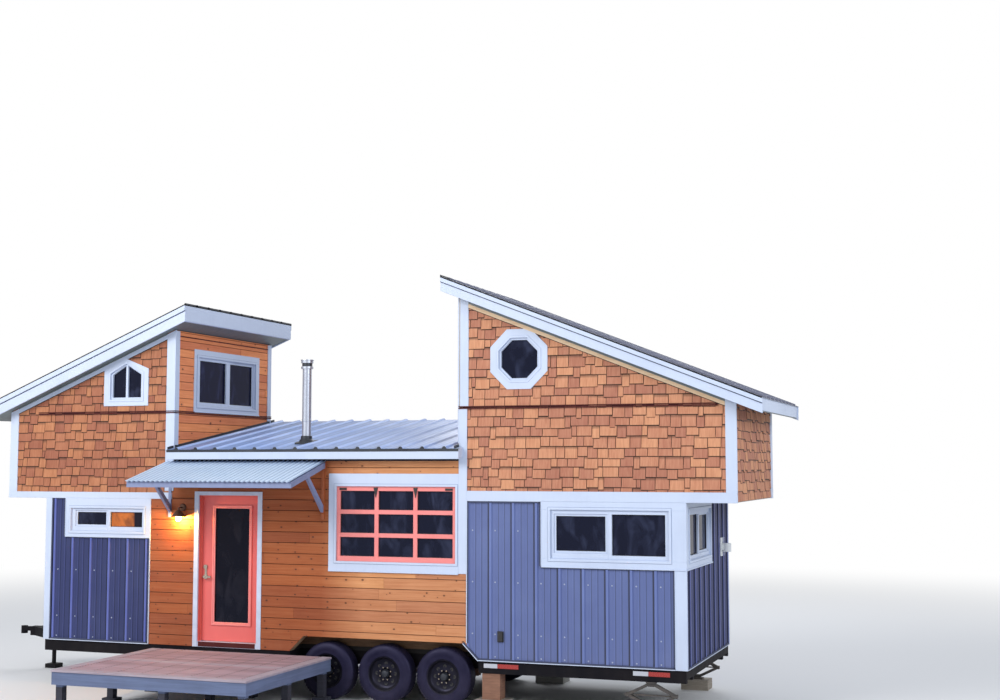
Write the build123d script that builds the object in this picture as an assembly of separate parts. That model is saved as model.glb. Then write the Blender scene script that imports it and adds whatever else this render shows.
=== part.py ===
from build123d import *
import math
import os

os.makedirs("parts", exist_ok=True)

# Tiny house on a triple axle trailer, all sizes in millimetres.
# Long side along X, entrance side towards -Y, ground at z = 0.

# Wheels
wheel_radius = 365.0
wheel_width = 225.0
wheel_in_from_side = 40.0
wheel_gap = 70.0
rim_radius = 222.0
axle_mid_x = 610.0
spindle_radius = 30.0
bore_gap = 0.2

# Lower body
body_length = 8970.0
body_width = 2590.0
floor_over_axle = 235.0
floor_thick = 60.0
wall_thick = 115.0
lower_wall_height = 1950.0
loft_floor_thick = 150.0

# Lofts that stand out past both ends of the lower body
loft_left_out = 635.0
loft_left_inner = -2490.0
loft_right_inner = 1640.0
loft_right_out = 605.0

# Roofs: rise over the loft floor, slope, overhangs and slab
left_peak_rise = 2450.0
left_slope = 0.407
left_peak_out = 260.0
left_eave_out = 350.0
left_slab = 220.0
right_peak_rise = 2663.0
right_slope = 0.395
right_peak_out = 186.0
right_eave_out = 350.0
right_slab = 182.0
roof_side = 200.0
mid_front_rise = 666.0
mid_slope = 0.155
mid_side = 155.0
mid_slab = 125.0
mid_fascia_out = 55.0
sheet_thick = 4.0
rib_height = 22.0
rib_pitch = 296.0
rib_foot = 64.0
rib_crest = 26.0

# Door and its light
door_left = -2058.0
door_wide = 861.0
door_high = 1902.0
sill_height = 12.0
door_thick = 44.0
door_gap = 5.0
jamb_thick = 36.0
light_left = 192.0
light_right = 147.0
light_bottom = 243.0
light_top = 156.0
case_thick = 20.0
case_wide = 37.0

# Windows: distance in from the nearest corner, width, height, drop from the wall top
left_window_in = 390.0
left_window_wide = 1170.0
left_window_high = 320.0
left_window_drop = 150.0
right_window_in = 185.0
right_window_wide = 1470.0
right_window_high = 595.0
right_window_drop = 100.0
end_window_in = 145.0
end_window_wide = 1270.0
mid_window_in = 40.0
mid_window_wide = 1645.0
mid_window_high = 953.0
mid_window_rise = 168.0
loft_window_in = 550.0
loft_window_wide = 1590.0
loft_window_high = 680.0
loft_window_rise = 1100.0
octagon_in = 790.0
octagon_rise = 1590.0
octagon_flat = 275.0
octagon_case = 97.0
penta_in = 495.0
penta_wide = 525.0
penta_rise = 1170.0
penta_side = 370.0
penta_high = 505.0
penta_case = 92.0

# Wheel opening under the middle siding
arch_before = 1310.0
arch_behind = 1290.0
arch_chamfer = 200.0
arch_clear = 70.0

# Trailer steel
rail_depth = 150.0
rail_in_from_wheel = 120.0
rail_wide = 80.0
side_rail_wide = 60.0
cross_depth = 110.0
cross_wide = 50.0
tongue_length = 1415.0
coupler_radius = 48.0
socket_radius = 30.0
socket_depth = 60.0

# Entrance deck
deck_left_out = 692.0
deck_right_out = 1087.0
deck_reach = 2125.0
deck_below_floor = 50.0
board_thick = 25.0
board_lip = 12.0
joist_thick = 38.0
joist_depth = 150.0
deck_bays = 7
deck_post = 89.0

# Awning over the door
awning_left_out = 498.0
awning_right_out = 1005.0
awning_reach = 965.0
awning_below_roof = 166.0
awning_drop = 255.0
awning_depth = 75.0
wave_pitch = 68.0
wave_height = 16.0

# Places that follow from the sizes above
half_l = body_length / 2
half_w = body_width / 2
inner_w = half_w - wall_thick
axle_z = wheel_radius
axle_pitch = 2 * wheel_radius + wheel_gap
axle_places = (axle_mid_x - axle_pitch, axle_mid_x, axle_mid_x + axle_pitch)
floor_bottom = axle_z + floor_over_axle
floor_top = floor_bottom + floor_thick
lower_wall_top = floor_bottom + lower_wall_height
loft_base = lower_wall_top + loft_floor_thick
loft_left_outer = -half_l - loft_left_out
loft_right_outer = half_l + loft_right_out
left_peak_x = loft_left_inner + left_peak_out
left_peak_z = loft_base + left_peak_rise
left_eave_x = loft_left_outer - left_eave_out
right_peak_x = loft_right_inner - right_peak_out
right_peak_z = loft_base + right_peak_rise
right_eave_x = loft_right_outer + right_eave_out
roof_y = half_w + roof_side
mid_y = half_w + mid_side
mid_front_z = lower_wall_top + mid_front_rise
sheet_rise = sheet_thick + rib_height
door_right = door_left + door_wide
door_bottom = floor_top + sill_height
door_top = door_bottom + door_high
arch_left = axle_mid_x - arch_before
arch_right = axle_mid_x + arch_behind
arch_top = 2 * wheel_radius + arch_clear
rail_bottom = floor_bottom - rail_depth
wheel_outer_y = half_w - wheel_in_from_side
wheel_inner_y = wheel_outer_y - wheel_width
rail_y = wheel_inner_y - rail_in_from_wheel
tongue_end_x = -half_l - tongue_length
deck_left = door_left - deck_left_out
deck_right = door_right + deck_right_out
deck_back = -half_w
deck_front = deck_back - deck_reach
deck_top = floor_bottom - deck_below_floor
awning_left = door_left - awning_left_out
awning_right = door_right + awning_right_out
awning_wall_z = mid_front_z - awning_below_roof

# The frame's origin is the middle of the bounding box at ground level
shift_x = -(tongue_end_x + right_eave_x) / 2
shift_y = -(deck_front - board_lip + roof_y) / 2


def block(x0, x1, y0, y1, z0, z1):
    size = (x1 - x0, y1 - y0, z1 - z0)
    return Pos((x0 + x1) / 2, (y0 + y1) / 2, (z0 + z1) / 2) * Box(*size)


def plate_xz(points, y0, y1):
    # closed outline in X and Z, thickness from y0 to y1
    face = make_face(Polyline(*[(x, y0, z) for x, z in points], close=True))
    return extrude(face, amount=y1 - y0, dir=(0, 1, 0))


def plate_yz(points, x0, x1):
    # closed outline in Y and Z, thickness from x0 to x1
    face = make_face(Polyline(*[(x0, y, z) for y, z in points], close=True))
    return extrude(face, amount=x1 - x0, dir=(1, 0, 0))


def rod_y(x, z, y0, y1, radius):
    return Pos(x, (y0 + y1) / 2, z) * Rot(90, 0, 0) * Cylinder(radius, y1 - y0)


def rod_x(y, z, x0, x1, radius):
    return Pos((x0 + x1) / 2, y, z) * Rot(0, 90, 0) * Cylinder(radius, x1 - x0)


def rod_z(x, y, z0, z1, radius):
    return Pos(x, y, (z0 + z1) / 2) * Cylinder(radius, z1 - z0)


def prism_y(x, z, y0, y1, radius):
    # eight sided bar along Y
    turns = [math.pi / 8 + k * math.pi / 4 for k in range(8)]
    return plate_xz([(x + radius * math.cos(a), z + radius * math.sin(a)) for a in turns], y0, y1)


def mirror_y(shape):
    return mirror(shape, about=Plane.XZ)


def save(shape, name, count=1):
    solids = shape.solids()
    if len(solids) != count:
        raise ValueError(f"{name} has {len(solids)} solids")
    placed = Pos(shift_x, shift_y, 0) * (solids[0] if count == 1 else Compound(children=list(solids)))
    placed.label = name
    export_step(placed, f"parts/{name}.step")


def left_top(x):
    return left_peak_z + left_slope * (x - left_peak_x)


def right_top(x):
    return right_peak_z - right_slope * (x - right_peak_x)


def mid_top(y):
    return mid_front_z + mid_slope * (y + mid_y)


def left_under(x):
    return left_top(x) - sheet_rise - left_slab


def right_under(x):
    return right_top(x) - sheet_rise - right_slab


def mid_under(y):
    return mid_top(y) - sheet_rise - mid_slab


# Trailer frame: two main rails, side rails, cross members
rail_in = rail_y - rail_wide / 2
rail_out = rail_y + rail_wide / 2
frame = block(-half_l, half_l, -rail_out, -rail_in, rail_bottom, floor_bottom)
frame += block(-half_l, half_l, rail_in, rail_out, rail_bottom, floor_bottom)
for side in (-1, 1):
    ya, yb = sorted((side * half_w, side * (half_w - side_rail_wide)))
    frame += block(-half_l, arch_left, ya, yb, rail_bottom, floor_bottom)
    frame += block(arch_right, half_l, ya, yb, rail_bottom, floor_bottom)
front_bays = 5
rear_bays = 3
front_step = (arch_left - cross_wide + half_l) / front_bays
rear_step = (half_l - cross_wide - arch_right) / rear_bays
crosses = [-half_l + k * front_step for k in range(front_bays + 1)]
crosses += [arch_right + k * rear_step for k in range(rear_bays + 1)]
for x in crosses:
    frame += block(x, x + cross_wide, -half_w, half_w, floor_bottom - cross_depth, floor_bottom)
cross_low = floor_bottom - cross_depth
for x in axle_places:
    frame += block(x - cross_wide / 2, x + cross_wide / 2, -rail_y, rail_y, cross_low, floor_bottom)
save(frame, "trailer_frame")

# Drawbar: two bars that meet at a coupler, and a jack post
bar_low = rail_bottom + 10
bar_high = floor_bottom - 10
bar_root = rail_y - 150.0
bar_wide = 80.0
bar_tip_x = tongue_end_x + 260
tongue = block(bar_tip_x - 60, bar_tip_x + 260, -60, 60, bar_low, bar_high)
for side in (-1, 1):
    pts = [
        (-half_l, side * bar_root), (-half_l, side * (bar_root - bar_wide)),
        (bar_tip_x, side * -20.0), (bar_tip_x, side * 50.0),
    ]
    face = make_face(Polyline(*[(x, y, bar_low) for x, y in pts], close=True))
    tongue += extrude(face, amount=bar_high - bar_low, dir=(0, 0, 1))
coupler_x = tongue_end_x + coupler_radius
tongue += block(coupler_x, bar_tip_x - 40, -40, 40, bar_low + 60, bar_high - 10)
tongue += rod_z(coupler_x, 0, bar_low + 20, bar_high, coupler_radius)
tongue -= rod_z(coupler_x, 0, bar_low + 10, bar_low + 20 + socket_depth, socket_radius)
jack_x = bar_tip_x + 330
jack_foot = 60.0
jack_tube = 36.0
jack_top = bar_high + 420
crank_drop = 180.0


def bar_middle(x):
    # half the distance between the two bars' middle lines
    share = (x - bar_tip_x) / (-half_l - bar_tip_x)
    return 15 + share * (bar_root - bar_wide / 2 - 15)


xa = bar_tip_x + 200
xb = jack_x + 60
pts = [(xa, -bar_middle(xa)), (xb, -bar_middle(xb)), (xb, bar_middle(xb)), (xa, bar_middle(xa))]
face = make_face(Polyline(*[(x, y, bar_high - 12) for x, y in pts], close=True))
tongue += extrude(face, amount=12, dir=(0, 0, 1))
tongue += rod_z(jack_x, 0, jack_foot, bar_low - 110, jack_tube - 6)
tongue += block(jack_x - jack_tube, jack_x + jack_tube, -jack_tube, jack_tube, bar_low - 130, jack_top)
tongue += block(jack_x - 90, jack_x + 90, -90, 90, 0, jack_foot)
tongue += block(jack_x - 12, jack_x + 12, 0, 96, jack_top - 36, jack_top - 12)
tongue += block(jack_x - 9, jack_x + 9, 78, 96, jack_top - crank_drop, jack_top - 24)
save(tongue, "drawbar")

# Axles with backing plates and stub spindles
tube_radius = 38.0
backing_radius = 150.0
seat_low = axle_z - tube_radius
hub_back = wheel_inner_y - 6
cap_depth = 95.0
spindle_end = wheel_outer_y - cap_depth - 10
for n, x in enumerate(axle_places, start=1):
    axle = rod_y(x, axle_z, -hub_back + 24, hub_back - 24, tube_radius)
    for side in (-1, 1):
        ya, yb = sorted((side * (hub_back - 24), side * (hub_back - 12)))
        axle += rod_y(x, axle_z, ya, yb, backing_radius)
        ya, yb = sorted((side * (hub_back - 12), side * spindle_end))
        axle += rod_y(x, axle_z, ya, yb, spindle_radius)
    save(axle, f"axle_{n}")

# Leaf springs with hangers and equalizers, one set a side, below the axles
leaf_thick = 9.0
leaf_wide = 50.0
eye_half = 330.0
eye_radius = 20.0
camber = 62.0
leaf_count = 4
bolt_wide = 12.0
spring_top = seat_low - 14
steps = 4


def leaf_z(u):
    return spring_top + camber * (u / eye_half) ** 2


def leaf_set(x, y0, y1):
    # one leaf more for each quarter of the way in, ends stepped
    top = [(x + eye_half * k / steps, leaf_z(eye_half * k / steps)) for k in range(-steps, steps + 1)]
    low = []
    for k in range(steps, -steps - 1, -1):
        u = eye_half * k / steps
        before = min(leaf_count, 1 + (steps - abs(k + 1)) * leaf_count // steps) if k < steps else 1
        after = min(leaf_count, 1 + (steps - abs(k - 1)) * leaf_count // steps) if k > -steps else 1
        here = sorted({max(1, before), max(1, after)}, reverse=k < 0)
        for n in here:
            low.append((x + u, leaf_z(u) - leaf_thick * n))
    shape = plate_xz(top + low, y0, y1)
    # seat under the axle tube, lower plate and square U-bolts
    under = spring_top - leaf_thick * leaf_count
    shape += block(x - 55, x + 55, y0 - 6, y1 + 6, spring_top - 2, seat_low)
    shape += block(x - 60, x + 60, y0 - 20, y1 + 20, under - 12, under)
    for y in (y0 - bolt_wide, y1):
        for sx in (-tube_radius - bolt_wide, tube_radius):
            shape += block(x + sx, x + sx + bolt_wide, y, y + bolt_wide, under - 24, axle_z + tube_radius)
        across = tube_radius + bolt_wide
        over = axle_z + tube_radius
        shape += block(x - across, x + across, y, y + bolt_wide, over, over + bolt_wide)
    for end in (-1, 1):
        shape += prism_y(x + end * eye_half, leaf_z(eye_half) + 8, y0, y1, eye_radius)
    return shape


y_in = rail_y - leaf_wide / 2
y_out = rail_y + leaf_wide / 2
eye_z = leaf_z(eye_half) + 8
springs = leaf_set(axle_places[0], y_in, y_out)
for x in axle_places[1:]:
    springs += leaf_set(x, y_in, y_out)
for end in (-1, 1):
    x = axle_mid_x + end * (axle_pitch + eye_half)
    pts = [(x - 30, eye_z - 24), (x + 30, eye_z - 24), (x + 55, rail_bottom), (x - 55, rail_bottom)]
    for ya in (y_in - 10, y_out):
        springs += plate_xz(pts, ya, ya + 10)
for end in (-1, 1):
    x = axle_mid_x + end * axle_pitch / 2
    link = (axle_pitch - 2 * eye_half) / 2
    pts = [(x - link - 26, eye_z - 20), (x + link + 26, eye_z - 20), (x + link + 20, eye_z + 22)]
    pts += [(x + 24, eye_z + 44), (x - 24, eye_z + 44), (x - link - 20, eye_z + 22)]
    hanger = [(x - 24, eye_z - 4), (x + 24, eye_z - 4), (x + 45, rail_bottom), (x - 45, rail_bottom)]
    for ya, yb in ((y_in - 10, y_in), (y_out, y_out + 10)):
        springs += plate_xz(pts, ya, yb)
    springs += plate_xz(hanger, y_in, y_out)
    springs += prism_y(x, eye_z + 18, y_in - 24, y_out + 24, 12)
save(springs, "spring_set_back")
save(mirror_y(springs), "spring_set_front")

# Wheel: tyre, rim, hub and brake drum turned round one axis
w_out = wheel_outer_y
w_in = wheel_inner_y
bore = spindle_radius + bore_gap
drum = backing_radius
profile = [
    (bore, hub_back), (drum, hub_back), (drum, w_in + 60), (rim_radius - 22, w_in + 60), (rim_radius, w_in + 4),
    (300, w_in), (wheel_radius, w_in + 42), (wheel_radius, w_out - 42), (300, w_out), (rim_radius, w_out - 4),
    (rim_radius - 24, w_out - 40), (drum, w_out - 66), (60, w_out - 66), (60, w_out - 16), (0, w_out - 16),
    (0, w_out - cap_depth), (bore, w_out - cap_depth),
]
half_face = make_face(Polyline(*[(r, y, 0) for r, y in profile], close=True))
wheel = revolve(half_face, axis=Axis.Y)
for n, x in enumerate(axle_places, start=1):
    placed = Pos(x, 0, axle_z) * wheel
    save(placed, f"wheel_back_{n}")
    save(mirror_y(placed), f"wheel_front_{n}")

# Scissor jacks under the rear corners of the trailer
jack_in = 425.0
jack_mid = half_l - jack_in
jack_y = half_w - side_rail_wide / 2
jack_low = 130.0
jack_head = rail_bottom - 16
jack = block(jack_mid - 180, jack_mid + 180, jack_y - 150, jack_y + 150, 0, jack_low)
jack += block(jack_mid - 90, jack_mid + 90, jack_y - 50, jack_y + 50, jack_low, jack_low + 20)
jack += block(jack_mid - 60, jack_mid + 60, jack_y - 40, jack_y + 40, jack_head, rail_bottom)
elbow = 290.0
z_mid = (jack_low + 20 + jack_head) / 2
for sx in (-1, 1):
    for base_z in (jack_low + 30, jack_head - 10):
        tip = (jack_mid + sx * elbow, z_mid)
        root = (jack_mid + sx * 25, base_z)
        length = math.hypot(tip[0] - root[0], tip[1] - root[1])
        nx = -(tip[1] - root[1]) / length * 17
        nz = (tip[0] - root[0]) / length * 17
        arm = [(root[0] + nx, root[1] + nz), (tip[0] + nx, tip[1] + nz)]
        arm += [(tip[0] - nx, tip[1] - nz), (root[0] - nx, root[1] - nz)]
        jack += plate_xz(arm, jack_y - 24, jack_y + 24)
    xa = jack_mid + sx * elbow
    jack += block(xa - 20, xa + 20, jack_y - 30, jack_y + 30, z_mid - 20, z_mid + 20)
jack += block(jack_mid - elbow - 45, jack_mid + elbow + 20, jack_y - 8, jack_y + 8, z_mid - 8, z_mid + 8)
jack += block(jack_mid - 40, jack_mid + 40, jack_y - 24, jack_y + 24, jack_low + 10, jack_low + 60)
jack += block(jack_mid - 40, jack_mid + 40, jack_y - 24, jack_y + 24, jack_head - 40, jack_head + 10)
save(jack, "scissor_jack_back")
save(mirror_y(jack), "scissor_jack_front")

# Piers under the side rails just behind the wheels
pier_x = arch_right + 160
pier_foot = 130.0
pier = block(pier_x - 200, pier_x + 200, half_w - 260, half_w + 40, 0, pier_foot)
pier += block(pier_x - 115, pier_x + 115, half_w - 200, half_w - 10, pier_foot, rail_bottom)
save(pier, "pier_back")
save(mirror_y(pier), "pier_front")

# Floor, notched at the wheels
box_in = wheel_inner_y - 70
box_wall = 20.0
floor = block(-half_l + wall_thick, half_l - wall_thick, -inner_w, inner_w, floor_bottom, floor_top)
for side in (-1, 1):
    ya, yb = sorted((side * box_in, side * half_w))
    floor -= block(arch_left, arch_right, ya, yb, floor_bottom, floor_top)
save(floor, "floor_pan")

# Raised boxes over the wheels, open below and closed inside the room
wheel_box = block(
    arch_left - box_wall, arch_right + box_wall, box_in - box_wall, inner_w, floor_top, arch_top + box_wall
)
wheel_box -= block(arch_left, arch_right, box_in, inner_w, floor_top, arch_top)
save(wheel_box + mirror_y(wheel_box), "floor_boxes", 2)

# Lower walls
arch_pts = [
    (arch_left, floor_bottom - 10), (arch_left, floor_bottom), (arch_left + arch_chamfer, arch_top),
    (arch_right - arch_chamfer, arch_top), (arch_right, floor_bottom), (arch_right, floor_bottom - 10),
]
arch_front = plate_xz(arch_pts, -half_w - 1, -inner_w + 1)
arch_back = plate_xz(arch_pts, inner_w - 1, half_w + 1)
jamb_left = door_left - door_gap - jamb_thick
jamb_right = door_right + door_gap + jamb_thick
head_top = door_top + door_gap + jamb_thick


# Window openings: left, right, bottom and top of each frame
def opening(start, wide, high_edge, high):
    return (start, start + wide, high_edge - high, high_edge)


win_left = opening(-half_l + left_window_in, left_window_wide, lower_wall_top - left_window_drop, left_window_high)
mid_window_top = lower_wall_top + mid_window_rise
mid_window_start = loft_right_inner - mid_window_in - mid_window_wide
win_mid = opening(mid_window_start, mid_window_wide, mid_window_top, mid_window_high)
right_window_top = lower_wall_top - right_window_drop
right_window_start = half_l - right_window_in - right_window_wide
win_right = opening(right_window_start, right_window_wide, right_window_top, right_window_high)
win_end = opening(-half_w + end_window_in, end_window_wide, right_window_top, right_window_high)
loft_window_top = loft_base + loft_window_rise + loft_window_high
win_loft = opening(-half_w + loft_window_in, loft_window_wide, loft_window_top, loft_window_high)
octagon_mid = (loft_right_inner + octagon_in, loft_base + octagon_rise)
penta_x1 = loft_left_inner - penta_in
penta_x0 = penta_x1 - penta_wide
penta_bottom = loft_base + penta_rise
penta_shoulder = penta_bottom + penta_side
penta_peak = penta_bottom + penta_high


def slot_y(win, y0, y1):
    return block(win[0], win[1], y0, y1, win[2], win[3])


front_left = plate_xz([
    (-half_l, floor_bottom), (jamb_left, floor_bottom), (jamb_left, head_top),
    (loft_left_inner, head_top), (loft_left_inner, lower_wall_top), (-half_l, lower_wall_top),
], -half_w, -inner_w)
front_left -= slot_y(win_left, -half_w - 1, -inner_w + 1)
save(front_left, "wall_front_left")

header = plate_yz([
    (-half_w, head_top), (-inner_w, head_top), (-inner_w, mid_under(-inner_w)), (-half_w, mid_under(-half_w)),
], loft_left_inner, jamb_right)
save(header, "wall_over_door")

front_mid = plate_yz([
    (-half_w, floor_bottom), (-inner_w, floor_bottom), (-inner_w, mid_under(-inner_w)), (-half_w, mid_under(-half_w)),
], jamb_right, loft_right_inner)
front_mid -= arch_front
front_mid -= slot_y(win_mid, -half_w - 1, -inner_w + 1)
save(front_mid, "wall_front_middle")

front_right = block(loft_right_inner, half_l, -half_w, -inner_w, floor_bottom, lower_wall_top)
front_right -= arch_front
front_right -= slot_y(win_right, -half_w - 1, -inner_w + 1)
save(front_right, "wall_front_right")

back = block(-half_l, half_l, inner_w, half_w, floor_bottom, lower_wall_top)
back += plate_yz([
    (inner_w, lower_wall_top), (half_w, lower_wall_top), (half_w, mid_under(half_w)), (inner_w, mid_under(inner_w)),
], loft_left_inner, loft_right_inner)
back -= arch_back
save(back, "wall_back")

end_left = block(-half_l, -half_l + wall_thick, -inner_w, inner_w, floor_bottom, lower_wall_top)
save(end_left, "wall_end_left")
end_right = block(half_l - wall_thick, half_l, -inner_w, inner_w, floor_bottom, lower_wall_top)
end_right -= block(half_l - wall_thick - 1, half_l + 1, win_end[0], win_end[1], win_end[2], win_end[3])
save(end_right, "wall_end_right")

# Loft floors, which stand out past the lower end walls
loft_floor = block(loft_left_outer, loft_left_inner, -half_w, half_w, lower_wall_top, loft_base)
save(loft_floor, "loft_floor_left")
loft_floor = block(loft_right_inner, loft_right_outer, -half_w, half_w, lower_wall_top, loft_base)
save(loft_floor, "loft_floor_right")

# Loft walls
left_face = [
    (loft_left_outer, loft_base), (loft_left_inner, loft_base),
    (loft_left_inner, left_under(loft_left_inner)), (loft_left_outer, left_under(loft_left_outer)),
]
right_face = [
    (loft_right_inner, loft_base), (loft_right_outer, loft_base),
    (loft_right_outer, right_under(loft_right_outer)), (loft_right_inner, right_under(loft_right_inner)),
]
penta_mid = (penta_x0 + penta_x1) / 2
penta_pts = [
    (penta_x0, penta_bottom), (penta_x1, penta_bottom), (penta_x1, penta_shoulder),
    (penta_mid, penta_peak), (penta_x0, penta_shoulder),
]


def ring_points(flat):
    reach = flat / math.cos(math.pi / 8)
    angles = [math.pi / 8 + k * math.pi / 4 for k in range(8)]
    return [(octagon_mid[0] + reach * math.cos(a), octagon_mid[1] + reach * math.sin(a)) for a in angles]


loft_left_front = plate_xz(left_face, -half_w, -inner_w) - plate_xz(penta_pts, -half_w - 1, -inner_w + 1)
save(loft_left_front, "loft_left_front")
save(plate_xz(left_face, inner_w, half_w), "loft_left_back")
loft_right_front = plate_xz(right_face, -half_w, -inner_w)
loft_right_front -= plate_xz(ring_points(octagon_flat), -half_w - 1, -inner_w + 1)
save(loft_right_front, "loft_right_front")
save(plate_xz(right_face, inner_w, half_w), "loft_right_back")

x = loft_left_outer
save(plate_xz([
    (x, loft_base), (x + wall_thick, loft_base), (x + wall_thick, left_under(x + wall_thick)), (x, left_under(x)),
], -inner_w, inner_w), "loft_left_end")
x = loft_right_outer
save(plate_xz([
    (x - wall_thick, loft_base), (x, loft_base), (x, right_under(x)), (x - wall_thick, right_under(x - wall_thick)),
], -inner_w, inner_w), "loft_right_end")

sky = max(left_peak_z, right_peak_z) + 500
low_line = [(-inner_w, mid_under(-inner_w)), (inner_w, mid_under(inner_w))]
tall = [low_line[0], low_line[1], (inner_w, sky), (-inner_w, sky)]
x = loft_left_inner
inner_left = plate_yz(tall, x - wall_thick, x)
xa = x - wall_thick - 10
xb = x + 10
cut = [(xa, left_under(xa)), (xb, left_under(xb)), (xb, sky + 500), (xa, sky + 500)]
inner_left -= plate_xz(cut, -half_w, half_w)
inner_left -= block(x - wall_thick - 1, x + 1, win_loft[0], win_loft[1], win_loft[2], win_loft[3])
save(inner_left, "loft_left_inner")
x = loft_right_inner
inner_right = plate_yz(tall, x, x + wall_thick)
xa = x - 10
xb = x + wall_thick + 10
cut = [(xa, right_under(xa)), (xb, right_under(xb)), (xb, sky + 500), (xa, sky + 500)]
inner_right -= plate_xz(cut, -half_w, half_w)
save(inner_right, "loft_right_inner")


# Roof slabs with boxed overhangs
def slab_points(x0, x1, high, low):
    return [(x0, low(x0)), (x1, low(x1)), (x1, high(x1) - sheet_rise), (x0, high(x0) - sheet_rise)]


save(plate_xz(slab_points(left_eave_x, left_peak_x, left_top, left_under), -roof_y, roof_y), "roof_left")
save(plate_xz(slab_points(right_peak_x, right_eave_x, right_top, right_under), -roof_y, roof_y), "roof_right")
mid_pts = [
    (-mid_y, mid_under(-mid_y)), (mid_y, mid_under(mid_y)),
    (mid_y, mid_top(mid_y) - sheet_rise), (-mid_y, mid_top(-mid_y) - sheet_rise),
]
mid_roof = plate_yz(mid_pts, loft_left_inner, loft_right_inner)
lip = [
    (-mid_y, mid_under(-mid_y)), (-half_w, mid_under(-half_w)),
    (-half_w, mid_top(-half_w) - sheet_rise), (-mid_y, mid_top(-mid_y) - sheet_rise),
]
mid_roof += plate_yz(lip, loft_right_inner, loft_right_inner + mid_fascia_out)
save(mid_roof, "roof_middle")


# Ribbed roof sheets
def ribbed(start, end, base):
    # outline of a ribbed sheet across its width, as pairs of place and height
    count = int((end - start) // rib_pitch)
    first = start + (end - start - count * rib_pitch) / 2
    top = [(start, base + sheet_thick)]
    for k in range(count + 1):
        c = first + k * rib_pitch
        if c - rib_foot / 2 > start + 5 and c + rib_foot / 2 < end - 5:
            top += [(c - rib_foot / 2, base + sheet_thick), (c - rib_crest / 2, base + sheet_rise)]
            top += [(c + rib_crest / 2, base + sheet_rise), (c + rib_foot / 2, base + sheet_thick)]
    top += [(end, base + sheet_thick), (end, base), (start, base)]
    return top


def slope_sheet_x(x0, x1, top):
    base = top(x0) - sheet_rise
    face = make_face(Polyline(*[(x0, y, z) for y, z in ribbed(-roof_y, roof_y, base)], close=True))
    rise = top(x1) - top(x0)
    return extrude(face, amount=math.hypot(x1 - x0, rise), dir=(x1 - x0, 0, rise))


save(slope_sheet_x(left_eave_x, left_peak_x, left_top), "roofing_left")
save(slope_sheet_x(right_peak_x, right_eave_x, right_top), "roofing_right")
base = mid_top(-mid_y) - sheet_rise
outline = ribbed(loft_left_inner, loft_right_inner, base)
face = make_face(Polyline(*[(x, -mid_y, z) for x, z in outline], close=True))
rise = mid_top(mid_y) - mid_top(-mid_y)
roofing_mid = extrude(face, amount=math.hypot(2 * mid_y, rise), dir=(0, 2 * mid_y, rise))
save(roofing_mid, "roofing_middle")

# Door frame with stops, threshold and outside casing
jamb_in_left = door_left - door_gap
jamb_in_right = door_right + door_gap
head_in = door_top + door_gap
leaf_out = -inner_w - door_thick
stop = 14.0
stop_y = leaf_out - door_gap
sill_top = door_bottom - 6
door_frame = block(jamb_left, jamb_in_left, -half_w, -inner_w, floor_top, head_top)
door_frame += block(jamb_in_right, jamb_right, -half_w, -inner_w, floor_top, head_top)
door_frame += block(jamb_left, jamb_right, -half_w, -inner_w, head_in, head_top)
door_frame += block(jamb_left, jamb_right, -half_w - 15, -inner_w, floor_bottom, sill_top)
door_frame += block(jamb_in_left, jamb_in_left + stop, stop_y - 25, stop_y, sill_top, head_in)
door_frame += block(jamb_in_right - stop, jamb_in_right, stop_y - 25, stop_y, sill_top, head_in)
door_frame += block(jamb_in_left, jamb_in_right, stop_y - 25, stop_y, head_in - stop, head_in)
case_out = -half_w - case_thick
case_top = head_top + case_thick
casing = block(jamb_left - case_wide, jamb_right + case_wide, case_out, -half_w, floor_bottom, case_top)
casing -= block(jamb_in_left - 8, jamb_in_right + 8, case_out - 1, -half_w + 1, floor_bottom - 1, head_in + 8)
door_frame += casing

# Door leaf with one tall light in a raised moulding
glass = (door_left + light_left, door_right - light_right, door_bottom + light_bottom, door_top - light_top)
leaf = block(door_left, door_right, leaf_out, -inner_w, door_bottom, door_top)
leaf += block(glass[0] - 40, glass[1] + 40, leaf_out - 10, -inner_w + 10, glass[2] - 40, glass[3] + 40)
leaf -= block(glass[0], glass[1], leaf_out - 11, -inner_w + 11, glass[2], glass[3])
pane_y = (leaf_out - inner_w) / 2
save(block(glass[0], glass[1], pane_y - 10, pane_y + 10, glass[2], glass[3]), "door_glass")

# Three lift-off hinges at the inner face: knuckle and pin on the frame, barrel on the leaf
hinge_x = door_right + door_gap / 2
hinge_y = -inner_w + 8
hinge_high = 90.0
hinge_end = 180.0
knuckle_high = 40.0
knuckle_r = 7.0
pin_r = 4.0
hinge_mid = (door_bottom + door_top - hinge_high) / 2
for z in (door_bottom + hinge_end, hinge_mid, door_top - hinge_end - hinge_high):
    joint_z = z + knuckle_high
    door_frame += rod_z(hinge_x, hinge_y, z, joint_z, knuckle_r)
    door_frame += block(hinge_x, hinge_x + 12, -inner_w, hinge_y, z, joint_z)
    door_frame += rod_z(hinge_x, hinge_y, z, z + hinge_high - 5, pin_r)
    door_frame += block(hinge_x + 9, hinge_x + 36, -inner_w, -inner_w + 4, z, z + hinge_high)
    barrel = rod_z(hinge_x, hinge_y, joint_z + bore_gap, z + hinge_high, knuckle_r)
    barrel += block(hinge_x - 12, hinge_x, -inner_w, hinge_y, joint_z + bore_gap, z + hinge_high)
    barrel += block(hinge_x - 40, hinge_x - 9, -inner_w, -inner_w + 4, z, z + hinge_high)
    barrel -= rod_z(hinge_x, hinge_y, z - 1, z + hinge_high + 1, pin_r + bore_gap)
    leaf += barrel
save(door_frame, "door_frame")

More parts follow.
